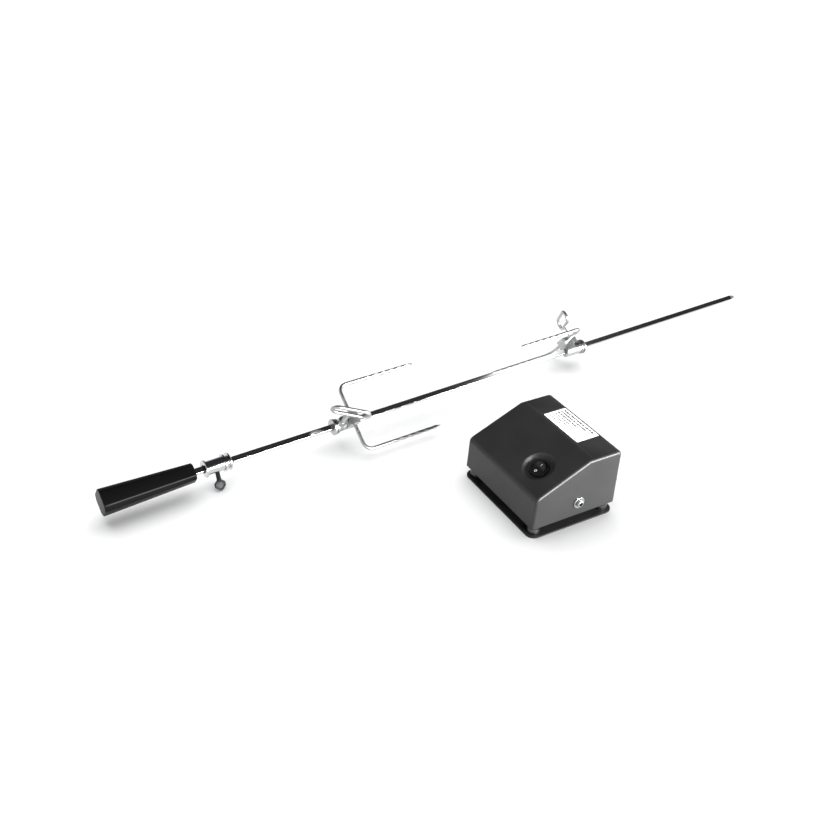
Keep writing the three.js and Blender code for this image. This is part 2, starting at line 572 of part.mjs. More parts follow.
const pillar = turned([[0, LOWER_SHEET], [PIN_RADIUS, LOWER_SHEET], [PIN_RADIUS, GEARS_FROM + CLEAR],
  [PILLAR_RADIUS, GEARS_FROM + CLEAR], [PILLAR_RADIUS, UPPER_SHEET - CLEAR],
  [PIN_RADIUS, UPPER_SHEET - CLEAR], [PIN_RADIUS, UPPER_SHEET + SHEET], [0, UPPER_SHEET + SHEET]], 12);
pillarSpots.forEach(([x, y], i) => {
  part(motorUnit, `gearbox_pillar_${i + 1}`, pillar.translate([x, y, 0]), steel());
});
const gearboxScrew = turned([[0, BASE_Z + CLEAR], [PIN_RADIUS, BASE_Z + CLEAR],
  [PIN_RADIUS, GEARS_FROM + CLEAR], [2.6, GEARS_FROM + CLEAR], [2.6, GEARS_FROM + 0.7], [0, GEARS_FROM + 1]], 12);
gearboxScrews.forEach(([x, y], i) => {
  part(motorUnit, `gearbox_screw_${i + 1}`, gearboxScrew.translate([x, y, 0]), steel());
});

// ---------- electric motor ----------
const CAN_FROM = UPPER_SHEET + SHEET + CLEAR;
const CAN_TO = CAN_FROM + CAN_LENGTH;
const onMotor = (shape) => shape.translate([...MOTOR_AT, 0]);
const SHAFT_HOLE = SHAFT_RADIUS + 0.4;
const CAN_BORE = CAN_RADIUS - CAN_WALL;
const INSIDE_CAN = CAN_BORE - 0.2;
part(motorUnit, 'motor_can', onMotor(turned([[SHAFT_HOLE, CAN_FROM], [CAN_RADIUS, CAN_FROM],
  [CAN_RADIUS, CAN_TO], [CAN_BORE, CAN_TO], [CAN_BORE, CAN_FROM + CAN_WALL],
  [SHAFT_HOLE, CAN_FROM + CAN_WALL], [SHAFT_HOLE, CAN_FROM]])), steel());
part(motorUnit, 'motor_end_cap', onMotor(turned([[SHAFT_HOLE, CAN_TO - 2.5], [INSIDE_CAN, CAN_TO - 2.5],
  [INSIDE_CAN, CAN_TO + CLEAR], [CAN_RADIUS, CAN_TO + CLEAR], [CAN_RADIUS, CAN_TO + 1.2], [4, CAN_TO + 1.2],
  [4, CAN_TO + 2.4], [SHAFT_HOLE, CAN_TO + 2.4], [SHAFT_HOLE, CAN_TO - 2.5]])), moulded());
const magnetRing = tubeZ(INSIDE_CAN, INSIDE_CAN - MAGNET_THICK, CAN_FROM + 3, CAN_TO - 4);
[-1, 1].forEach((side, i) => {
  const arc = magnetRing.intersect(box(Math.min(side, side * 20), -20, 0, Math.max(side, side * 20), 20, 90));
  part(motorUnit, `motor_magnet_${i + 1}`, onMotor(arc), darkCast());
});

function rotor() {
  const shaft = disc(SHAFT_RADIUS, LEVELS[2][0], CAN_TO + 1.8, 16);
  const armature = disc(INSIDE_CAN - MAGNET_THICK - 1, CAN_FROM + 4, CAN_TO - 6, 24);
  const commutator = disc(2.6, CAN_TO - 6.2, CAN_TO - 3, 16);
  const pinion = gear(FINE_MODULE, PINION_TEETH, facing(DIRECTIONS[2]), LEVELS[2][0], LEVELS[2][1]);
  return union(shaft, armature, commutator, pinion);
}
part(motorUnit, 'motor_rotor', onMotor(rotor()), steel());

// ---------- spit: rod and handle ----------
spit.position.set(SPIT_X, SPIT_Y, AXIS_HEIGHT);
spit.rotation.z = rad(SPIT_TURN);

const rodGroup = new THREE.Group();
rodGroup.rotation.x = rad(ROD_ROLL);
spit.add(rodGroup);

function rod() {
  const half = ROD_HALF;
  const from = BUTT_AT + HANDLE_LENGTH - ROD_IN_HANDLE;
  const bar = slab(roundedRectangle(-half, -half, half, half, 0.6), from, TIP_AT - TIP_LENGTH, 2);
  const sunk = 0.5; // how far the point's root reaches into the bar
  const cone = new THREE.CylinderGeometry(TIP_SIDE / Math.SQRT2, (ROD_SIDE - 0.2) / Math.SQRT2,
    TIP_LENGTH + sunk, 4);
  const point = solid(cone.rotateY(Math.PI / 4).rotateX(Math.PI / 2)
    .translate(0, 0, TIP_AT - (TIP_LENGTH + sunk) / 2));
  return alongX(union(bar, point));
}
part(rodGroup, 'spit_rod', rod(), chrome());

function chamferedSquare(side) {
  const half = side / 2;
  const flat = half - side * HANDLE_CHAMFER;
  const shape = new THREE.Shape();
  shape.moveTo(half, -flat);
  [[half, flat], [flat, half], [-flat, half], [-half, flat], [-half, -flat], [-flat, -half], [flat, -half]]
    .forEach(([x, y]) => shape.lineTo(x, y));
  return shape;
}

function handle() {
  const bevel = 1.6;
  const geometry = new THREE.ExtrudeGeometry(chamferedSquare(1), {
    depth: HANDLE_LENGTH - 2 * bevel, steps: 1, bevelEnabled: true, bevelSize: bevel / HANDLE_BUTT,
    bevelOffset: -bevel / HANDLE_BUTT, bevelThickness: bevel, bevelSegments: 2,
  }).translate(0, 0, bevel);
  const place = geometry.attributes.position;
  for (let i = 0; i < place.count; i += 1) {
    const share = place.getZ(i) / HANDLE_LENGTH;
    const side = HANDLE_BUTT + (HANDLE_FRONT - HANDLE_BUTT) * share;
    place.setXY(i, place.getX(i) * side, place.getY(i) * side);
  }
  const pocketFrom = HANDLE_LENGTH - ROD_IN_HANDLE - FIT;
  const pocket = box(-BORE_HALF, -BORE_HALF, pocketFrom, BORE_HALF, BORE_HALF, HANDLE_LENGTH + 1);
  return alongX(cut(solid(geometry), pocket)).translate([BUTT_AT, 0, 0]);
}
part(rodGroup, 'spit_handle', handle(), glossBlack());

// ---------- collar that runs in the grill's notch ----------
const collarGroup = new THREE.Group();
collarGroup.position.x = COLLAR_AT;
collarGroup.rotation.x = rad(COLLAR_SCREW_ROLL);
spit.add(collarGroup);

function collar() {
  const r = COLLAR_RADIUS;
  const end = COLLAR_LENGTH;
  const inner = end - FLANGE_THICK - COLLAR_GROOVE;
  const profile = [[COLLAR_BORE, 0], [FLANGE_RADIUS - 0.5, 0], [FLANGE_RADIUS, 0.5],
    [FLANGE_RADIUS, FLANGE_THICK], [r, FLANGE_THICK], [r, inner - FLANGE_THICK],
    [FLANGE_RADIUS, inner - FLANGE_THICK], [FLANGE_RADIUS, inner], [r - 0.8, inner],
    [r - 0.8, end - FLANGE_THICK],
    [FLANGE_RADIUS, end - FLANGE_THICK], [FLANGE_RADIUS, end - 0.5], [FLANGE_RADIUS - 0.5, end],
    [COLLAR_BORE, end], [COLLAR_BORE, 0]];
  const sleeve = alongX(turned(profile, 28));
  const screwHole = disc(SCREW_RADIUS + FIT, 0, 30, 16).translate([COLLAR_SCREW_AT, 0, 0]);
  return cut(sleeve, screwHole);
}
part(collarGroup, 'collar', collar(), chrome());

function paddleScrew() {
  const paddleFrom = COLLAR_SCREW_REACH - PADDLE_LENGTH;
  const shank = turned([[0, COLLAR_BORE], [SCREW_RADIUS, COLLAR_BORE], [SCREW_RADIUS, paddleFrom + 1],
    [0, paddleFrom + 1]], 20);
  const outline = new THREE.Shape();
  outline.moveTo(-2.6, 0);
  outline.lineTo(2.6, 0);
  outline.quadraticCurveTo(3.6, 2.6, PADDLE_WIDTH / 2, 4.4);
  outline.quadraticCurveTo(PADDLE_WIDTH / 2 + 0.3, 9, 2, PADDLE_LENGTH);
  outline.lineTo(-2, PADDLE_LENGTH);
  outline.quadraticCurveTo(-PADDLE_WIDTH / 2 - 0.3, 9, -PADDLE_WIDTH / 2, 4.4);
  outline.quadraticCurveTo(-3.6, 2.6, -2.6, 0);
  const paddle = slab(outline, -PADDLE_THICK / 2, PADDLE_THICK / 2, 5).rotate([90, 0, 0])
    .translate([0, 0, paddleFrom]);
  return union(shank, paddle).translate([COLLAR_SCREW_AT, 0, 0]);
}
part(collarGroup, 'collar_screw', paddleScrew(), darkCast());

// ---------- forks ----------
// Made with the prongs towards +X, the screw towards +Z and the cross wire along Y.
function forkBody() {
  const flanges = [[FORK_BODY_BACK, 2, 9.6], [FORK_BODY_BACK + 4, 1.8, 9]]
    .map(([x, thick, radius]) => alongX(disc(radius, 0, thick)).translate([x, 0, 0]));
  const sleeve = alongX(disc(FORK_BODY_RADIUS, FORK_BODY_BACK, FORK_BODY_FRONT));
  const boss = disc(BOSS_RADIUS, 0, BOSS_TOP, 24).translate([FORK_SCREW_AT, 0, 0]);
  const wireTop = WIRE_OFFSET + PRONG_RADIUS + 2;
  const clampBlock = box(-6.5, -FORK_BODY_RADIUS, 0, FORK_BODY_FRONT - 1, FORK_BODY_RADIUS, wireTop);
  const bore = box(FORK_BODY_BACK - 1, -BORE_HALF, -BORE_HALF, FORK_BODY_FRONT + 1, BORE_HALF, BORE_HALF);
  const wireHole = alongY(disc(PRONG_RADIUS + FIT, -20, 20, 16)).translate([0, 0, WIRE_OFFSET]);
  const screwHole = disc(SCREW_RADIUS + FIT, 0, 30, 16).translate([FORK_SCREW_AT, 0, 0]);
  return cut(union(sleeve, boss, clampBlock, ...flanges), bore, wireHole, screwHole);
}

function forkWire() {
  const point = (x, y) => new THREE.Vector3(x, y, WIRE_OFFSET);
  const span = PRONG_HALF_SPAN;
  const bend = PRONG_BEND;
  const straight = PRONG_LENGTH - 8;
  const path = new THREE.CurvePath();
  path.add(new THREE.LineCurve3(point(straight, -span), point(bend, -span)));
  path.add(new THREE.QuadraticBezierCurve3(point(bend, -span), point(0, -span), point(0, -span + bend)));
  path.add(new THREE.LineCurve3(point(0, -span + bend), point(0, span - bend)));
  path.add(new THREE.QuadraticBezierCurve3(point(0, span - bend), point(0, span), point(bend, span)));
  path.add(new THREE.LineCurve3(point(bend, span), point(straight, span)));
  const bent = wire(path, PRONG_RADIUS, 56, 8);
  const tips = [-span, span].map((y) => alongX(turned([[0, straight - 1], [PRONG_RADIUS - 0.05, straight - 1],
    [PRONG_RADIUS * 0.8, PRONG_LENGTH - 5], [0, PRONG_LENGTH]], 8)).translate([0, y, WIRE_OFFSET]));
  return union(bent, ...tips);
}

function ringScrew(turn) {
  const half = (RING_LENGTH - RING_WIDTH) / 2;
  const bend = RING_WIDTH / 2 - RING_WIRE;
  const from = ROD_HALF + FIT;
  const ringFoot = RING_CENTRE - bend - RING_WIRE;
  const shank = disc(SCREW_RADIUS, from, ringFoot + 1.2, 16);
  const stadium = (offset) => {
    const shape = new THREE.Shape();
    shape.absarc(half, 0, bend + offset, -Math.PI / 2, Math.PI / 2);
    shape.absarc(-half, 0, bend + offset, Math.PI / 2, 1.5 * Math.PI);
    shape.closePath();
    return shape;
  };
  const bands = [[0.414, 1], [1, 0.414]].map(([wide, thick]) => cut(
    slab(stadium(RING_WIRE * wide), -RING_WIRE * thick, RING_WIRE * thick, 4),
    slab(stadium(-RING_WIRE * wide), -RING_WIRE, RING_WIRE, 4)));
  const ring = union(...bands).rotate([90, 0, 0]).translate([0, 0, RING_CENTRE]);
  return union(shank, ring).rotate([0, 0, turn]).translate([FORK_SCREW_AT, 0, 0]);
}

function fork(number, station, roll, facingBack, ringTurn) {
  const group = new THREE.Group();
  group.position.x = station;
  group.rotation.set(rad(roll), 0, facingBack ? Math.PI : 0);
  spit.add(group);
  part(group, `fork_${number}_body`, forkBody(), chrome());
  part(group, `fork_${number}_wire`, forkWire(), chrome());
  part(group, `fork_${number}_screw`, ringScrew(ringTurn), chrome());
}
fork(1, 0, FORK_ROLL_1, false, RING_TURN_1);
fork(2, FORK_2_AT, FORK_ROLL_2, true, RING_TURN_2);

// ---------- origin: centre of the footprint, on the floor ----------
const extent = new THREE.Box3().setFromObject(kit, true);
const middle = extent.getCenter(new THREE.Vector3());
kit.position.set(-middle.x, -middle.y, -extent.min.z);

export default kit;
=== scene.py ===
"""Rotisserie kit for a grill, laid out on a pale floor: a square chromed spit with its handle,
collar and two forks, and beside it the battery motor unit that turns it."""
import json
import math

import bmesh
import bpy
import numpy as np
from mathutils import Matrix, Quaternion, Vector


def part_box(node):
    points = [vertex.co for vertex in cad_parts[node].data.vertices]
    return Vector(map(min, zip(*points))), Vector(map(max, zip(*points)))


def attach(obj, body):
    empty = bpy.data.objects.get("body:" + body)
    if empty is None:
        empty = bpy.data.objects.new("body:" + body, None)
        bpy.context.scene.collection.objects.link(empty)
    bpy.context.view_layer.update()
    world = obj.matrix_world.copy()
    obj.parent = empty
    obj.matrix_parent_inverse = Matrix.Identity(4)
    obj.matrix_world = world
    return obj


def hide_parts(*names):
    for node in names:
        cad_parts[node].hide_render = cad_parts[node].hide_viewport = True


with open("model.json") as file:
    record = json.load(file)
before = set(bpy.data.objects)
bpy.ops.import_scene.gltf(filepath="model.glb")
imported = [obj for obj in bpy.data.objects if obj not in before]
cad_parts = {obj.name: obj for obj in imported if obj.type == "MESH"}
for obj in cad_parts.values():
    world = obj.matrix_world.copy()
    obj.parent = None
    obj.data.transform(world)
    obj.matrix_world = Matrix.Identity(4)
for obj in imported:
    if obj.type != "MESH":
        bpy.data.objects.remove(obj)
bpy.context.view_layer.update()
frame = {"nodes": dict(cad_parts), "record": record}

# A wide soft lamp high above it gives the shadows, a panel in front lights the near walls but not
# the floor, and the sky is pale at the horizon and dark above.
mm = 0.001
housing_low, housing_high = (np.array(corner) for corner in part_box("housing"))
unit_corner = np.array([housing_low[0], housing_low[1], 0.0])


def lamp(name, place, target, size, power):
    """A flat lamp of the given width and height, turned to face its target."""
    light = bpy.data.lights.new(name, "AREA")
    light.shape = "RECTANGLE"
    light.size, light.size_y = size
    light.energy = power
    holder = bpy.data.objects.new(name, light)
    holder.location = place
    holder.rotation_mode = "QUATERNION"
    holder.rotation_quaternion = (Vector(target) - Vector(place)).to_track_quat("-Z", "Y")
    bpy.context.scene.collection.objects.link(holder)
    return holder


front_panel = lamp("front_panel", place=(0.55, -1.35, 0.40), target=(-0.04, -0.1, 0.05),
                   size=(1.5, 0.46), power=132)
lamp("strip_box", place=(1.14, -0.385, 1.28), target=(0.08, 0.1, 0.03), size=(0.20, 0.20), power=0.22)

SHADE_STRENGTH, SHADE_SOFTNESS = 3.45, math.radians(78)
SHADE_TRAVEL = Vector((-0.18, -0.22, -0.96))
shade_maker = bpy.data.lights.new("high_soft_lamp", "SUN")
shade_maker.energy, shade_maker.angle = SHADE_STRENGTH, SHADE_SOFTNESS
high_lamp = bpy.data.objects.new("high_soft_lamp", shade_maker)
high_lamp.rotation_mode = "QUATERNION"
high_lamp.rotation_quaternion = SHADE_TRAVEL.to_track_quat("-Z", "Y")
high_lamp.visible_glossy = False
bpy.context.scene.collection.objects.link(high_lamp)

SKY_AXIS, SKY_STRENGTH = Vector((0.20, 0.15, 0.97)), 0.9
SKY_STOPS = ((0.42, (0.92, 0.93, 0.94, 1)), (0.66, (0.045, 0.046, 0.048, 1)))
sky = bpy.data.worlds.new("pale_horizon")
sky.use_nodes = True
bpy.context.scene.world = sky
sky_nodes, sky_links = sky.node_tree.nodes, sky.node_tree.links
direction = sky_nodes.new("ShaderNodeTexCoord")
toward = sky_nodes.new("ShaderNodeVectorMath")
toward.operation = "DOT_PRODUCT"
toward.inputs[1].default_value = SKY_AXIS.normalized()
sky_ramp = sky_nodes.new("ShaderNodeValToRGB")
for stop, (position, colour) in zip(sky_ramp.color_ramp.elements, SKY_STOPS):
    stop.position, stop.color = position, colour
sky_links.new(direction.outputs["Generated"], toward.inputs[0])
sky_links.new(toward.outputs["Value"], sky_ramp.inputs["Fac"])
sky_links.new(sky_ramp.outputs["Color"], sky_nodes["Background"].inputs["Color"])
sky_nodes["Background"].inputs["Strength"].default_value = SKY_STRENGTH

FOCAL_LENGTH, FILM_WIDTH = 43.53, 36.0
CAMERA_FROM_CORNER = Vector((-0.53931, -0.61527, 0.68131))
eye = bpy.data.cameras.new("camera")
eye.lens, eye.sensor_width = FOCAL_LENGTH, FILM_WIDTH
camera = bpy.data.objects.new("camera", eye)
azimuth, elevation, roll = (math.radians(angle) for angle in (-32.034, 33.359, 3.448))
backward = Vector((math.sin(azimuth) * math.cos(elevation), -math.cos(azimuth) * math.cos(elevation),
                   math.sin(elevation)))
camera.location = Vector(unit_corner) + CAMERA_FROM_CORNER
camera.rotation_mode = "QUATERNION"
camera.rotation_quaternion = (-backward).to_track_quat("-Z", "Y") @ Quaternion((0, 0, 1), roll)
bpy.context.scene.collection.objects.link(camera)
bpy.context.scene.camera = camera
bpy.context.scene.view_settings.view_transform = "Standard"


def finish(name, colours, colour_scale, roughness, roughness_scale, grain_scale, grain_height,
           stretch=(1, 1, 1), turn=0.0, **sockets):
    """A surface whose colour and roughness wander between two values over soft noise, with a fine
    grain raised on it by a second noise. stretch lengthens the patterns and turn swings them
    round Z; sockets are plain values set on the shader."""
    material = bpy.data.materials.new(name)
    material.use_nodes = True
    nodes, links = material.node_tree.nodes, material.node_tree.links
    shader = nodes["Principled BSDF"]
    for socket, value in sockets.items():
        shader.inputs[socket.replace("_", " ")].default_value = value
    place = nodes.new("ShaderNodeTexCoord")
    swing = nodes.new("ShaderNodeMapping")
    swing.inputs["Rotation"].default_value = (0, 0, -turn)
    swing.inputs["Scale"].default_value = stretch
    links.new(place.outputs["Object"], swing.inputs["Vector"])

    def noise(scale, detail):
        """Soft noise read on the piece's own stretched and swung coordinates."""
        texture = nodes.new("ShaderNodeTexNoise")
        texture.inputs["Scale"].default_value = scale
        texture.inputs["Detail"].default_value = detail
        links.new(swing.outputs["Vector"], texture.inputs["Vector"])
        return texture.outputs["Fac"]

    tint = nodes.new("ShaderNodeValToRGB")
    tint.color_ramp.elements[0].position, tint.color_ramp.elements[1].position = 0.3, 0.7
    for element, colour in zip(tint.color_ramp.elements, colours):
        element.color = (*colour, 1)
    links.new(noise(colour_scale, 5), tint.inputs["Fac"])
    links.new(tint.outputs["Color"], shader.inputs["Base Color"])
    rough = nodes.new("ShaderNodeMapRange")
    rough.inputs["From Min"].default_value, rough.inputs["From Max"].default_value = 0.3, 0.7
    rough.inputs["To Min"].default_value, rough.inputs["To Max"].default_value = roughness
    links.new(noise(roughness_scale, 6), rough.inputs["Value"])
    links.new(rough.outputs["Result"], shader.inputs["Roughness"])
    bump = nodes.new("ShaderNodeBump")
    bump.inputs["Distance"].default_value = grain_height
    links.new(noise(grain_scale, 3), bump.inputs["Height"])
    links.new(bump.outputs["Normal"], shader.inputs["Normal"])
    return material


FLOOR_HALF = 14.0
floor_mesh = bpy.data.meshes.new("floor")
floor_mesh.from_pydata([(x * FLOOR_HALF, y * FLOOR_HALF, 0) for x, y in ((-1, -1), (1, -1), (1, 1), (-1, 1))],
                       [], [(0, 1, 2, 3)])
floor = bpy.data.objects.new("floor", floor_mesh)
bpy.context.scene.collection.objects.link(floor)
floor_mesh.materials.append(finish("pale_floor", ((0.86, 0.86, 0.86), (0.88, 0.88, 0.88)), 0.6,
                                   (0.8, 0.9), 2.0, 40, 0.0001, Specular_IOR_Level=0.1))
# the panel lights every piece but not the floor, so that the shadows on the floor stay
unlit_by_panel = bpy.data.collections.new("unlit_by_panel")
unlit_by_panel.objects.link(floor)
front_panel.light_linking.receiver_collection = unlit_by_panel
unlit_by_panel.collection_objects[0].light_linking.link_state = "EXCLUDE"

# ---------- motor unit: housing, tray and battery door ----------
# Three charcoal mouldings in one plastic with a fine eroded texture. The housing is one cover with
# a sloping face; the tray closes it from below, and the door slips into its high wall.
charcoal = finish("charcoal_moulding", ((0.0095, 0.0096, 0.0097), (0.0130, 0.0130, 0.0131)), 30,
                  (0.40, 0.50), 18, 1500, 0.00005, Specular_IOR_Level=0.47)


def place_piece(name, points, faces, material, body, stands_for=(), crease=35, weighted=True):
    """Makes the mesh, joins its doubles, turns its faces outwards, shades it smoothly up to the
    crease angle and sets it on its body."""
    mesh = bpy.data.meshes.new(name)
    mesh.from_pydata(np.asarray(points, float).tolist(), [], faces)
    shape = bmesh.new()
    shape.from_mesh(mesh)
    bmesh.ops.remove_doubles(shape, verts=shape.verts, dist=1e-7)
    bmesh.ops.recalc_face_normals(shape, faces=shape.faces)
    shape.to_mesh(mesh)
    shape.free()
    mesh.shade_smooth()
    mesh.set_sharp_from_angle(angle=math.radians(crease))
    mesh.materials.append(material)
    piece = bpy.data.objects.new(name, mesh)
    bpy.context.scene.collection.objects.link(piece)
    if weighted:
        smoother = piece.modifiers.new("even_flats", "WEIGHTED_NORMAL")
        smoother.keep_sharp = True
        smoother.weight = 80
    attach(piece, body)
    if stands_for:
        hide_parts(*stands_for)
    return piece


def moulded_copy(node, name, material, body, slot):
    """The node's own triangles with their shared corners joined: points that agree to a tenth of a
    micron become one, so that shading runs smoothly over the rounded edges."""
    source = frame["nodes"][node].data
    points = np.empty(len(source.vertices) * 3, np.float32)
    source.vertices.foreach_get("co", points)
    corners = np.empty(len(source.loops), np.int32)
    source.loops.foreach_get("vertex_index", corners)
    unique, index = np.unique(points.reshape(-1, 3).round(7), axis=0, return_inverse=True)
    triangles = index.ravel()[corners].reshape(-1, 3)
    whole = (triangles[:, 0] != triangles[:, 1]) & (triangles[:, 1] != triangles[:, 2]) \
        & (triangles[:, 2] != triangles[:, 0])
    return place_piece(name, unique, triangles[whole].tolist(), material, body, (node,))


moulded_copy("housing", "housing_cover", charcoal, "motor_unit", "moulded_shell")
moulded_copy("tray", "base_tray", charcoal, "motor_unit", "moulded_shell")
moulded_copy("battery_door", "cell_door", charcoal, "battery_door", "moulded_shell")

# ---------- motor unit: ridge bead ----------
# A low round bead along the flat top, just behind the ridge, moulded in one with the cover. It
# fades out before it reaches the side walls.
RIDGE_X, BEAD_FROM_RIDGE, BEAD_END_GAP, BEAD_FADE = 67 * mm, 4.5 * mm, 5 * mm, 1.5 * mm
BEAD_HALF_WIDTH, BEAD_RISE = 0.8 * mm, 0.28 * mm


def skin(rings, cap=True, loop=False):
    """Points and faces of a tube: each ring's points are joined to the next ring's by quads. With
    cap a fan closes each end; with loop the last ring joins the first."""
    count, around = rings.shape[:2]
    row = np.arange(count if loop else count - 1)[:, None]
    here = np.arange(around)[None]
    there = (here + 1) % around
    low, high = row * around, ((row + 1) % count) * around
    faces = np.stack([low + here, low + there, high + there, high + here], -1).reshape(-1, 4).tolist()
    points = rings.reshape(-1, 3)
    if cap and not loop:
        edge = np.arange(around)
        centres = np.array([rings[0].mean(0), rings[-1].mean(0)])
        first, last = len(points), len(points) + 1
        points = np.concatenate([points, centres])
        faces += np.stack([np.roll(edge, -1), edge, np.full(around, first)], -1).tolist()
        edge = edge + (count - 1) * around
        faces += np.stack([edge, np.roll(edge, -1), np.full(around, last)], -1).tolist()
    return points, faces


run = np.linspace(housing_low[1] + BEAD_END_GAP, housing_high[1] - BEAD_END_GAP, 60)
around = np.linspace(0, 2 * math.pi, 16, endpoint=False)
swell = np.clip(np.minimum(run - run[0], run[-1] - run) / BEAD_FADE, 0.05, 1)[:, None]
bead_rings = np.stack([housing_low[0] + RIDGE_X + BEAD_FROM_RIDGE + swell * BEAD_HALF_WIDTH * np.cos(around),
                       run[:, None] + 0 * around,
                       housing_high[2] + swell * BEAD_RISE * np.sin(around)], -1)
points, faces = skin(bead_rings)
place_piece("ridge_bead", points, faces, charcoal, "motor_unit", weighted=False)

# ---------- motor unit: back plate, spacers and plate screws ----------
# A sheet steel plate in black powder coat, held off the housing by four steel spacers. Each
# spacer is turned from bar, with rounded rims and a shallow groove round its middle.
powder = finish("black_powder_coat", ((0.006, 0.006, 0.0065), (0.010, 0.010, 0.0105)), 60, (0.34, 0.48), 25,
                700, 0.00006, Specular_IOR_Level=0.4)
# the spacers' steel is darkened nearly to black: painted shade for their place in the gap under the housing
spacer_steel_painted_shade = finish("spacer_steel_with_painted_shade", ((0.07, 0.071, 0.073), (0.13, 0.131, 0.134)), 160, (0.24, 0.38), 220,
                      900, 0.00002, Metallic=1.0)
zinc = finish("bright_zinc", ((0.66, 0.67, 0.68), (0.80, 0.81, 0.82)), 160, (0.16, 0.30), 220,
              900, 0.00002, Metallic=1.0)
moulded_copy("back_plate", "sheet_plate", powder, "motor_unit", "black_plate")


def across(axis):
    """Two unit vectors at right angles to the axis and to each other, right-handed about it."""
    axis = np.asarray(axis, float)
    side = np.cross(axis, [0, 0, 1] if abs(axis[2]) < 0.9 else [0, 1, 0])
    side /= np.linalg.norm(side)
    return side, np.cross(axis, side)


def turned(profile, centre, axis, sides=48):
    """Rings of a turned body: each profile point is a radius and a height, and its ring is the
    centre plus the height along the axis plus the radius along a spoke that turns right round."""
    profile = np.asarray(profile, float)
    u, v = across(axis)
    angle = np.linspace(0, 2 * math.pi, sides, endpoint=False)
    spoke = np.cos(angle)[:, None] * u + np.sin(angle)[:, None] * v
    return (np.asarray(centre) + profile[:, None, 1:] * np.asarray(axis)
            + profile[:, None, :1] * spoke[None])


SPACER_BORE, SPACER_RIM, GROOVE_DEPTH = 2.3 * mm, 0.7 * mm, 0.5 * mm
GROOVE_HALF_TOP, GROOVE_HALF_ROOT = 1.2 * mm, 0.7 * mm
for number in range(1, 5):
    low, high = (np.array(corner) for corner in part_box(f"plate_spacer_{number}"))
    radius, height = (high[0] - low[0]) / 2, high[2] - low[2]
    middle = height / 2
    bend = np.linspace(0, math.pi / 2, 5)
    neck = radius - SPACER_RIM
    lower_rim = np.stack([neck + SPACER_RIM * np.sin(bend), SPACER_RIM - SPACER_RIM * np.cos(bend)], -1)
    upper_rim = np.stack([neck + SPACER_RIM * np.cos(bend),
                          height - SPACER_RIM + SPACER_RIM * np.sin(bend)], -1)
    groove = [(radius, middle - GROOVE_HALF_TOP), (radius - GROOVE_DEPTH, middle - GROOVE_HALF_ROOT),
              (radius - GROOVE_DEPTH, middle + GROOVE_HALF_ROOT), (radius, middle + GROOVE_HALF_TOP)]
    outside = np.concatenate([lower_rim, groove, upper_rim])
    profile = np.concatenate([[(SPACER_BORE, 0)], outside, [(SPACER_BORE, height)]])
    rings = turned(profile, [(low[0] + high[0]) / 2, (low[1] + high[1]) / 2, low[2]], (0, 0, 1))
    points, faces = skin(rings, loop=True)
    place_piece(f"turned_spacer_{number}", points, faces, spacer_steel_painted_shade, "motor_unit",
                (f"plate_spacer_{number}",), crease=50)
    moulded_copy(f"plate_screw_{number}", f"countersunk_screw_{number}", zinc, "motor_unit", "plated_steel")
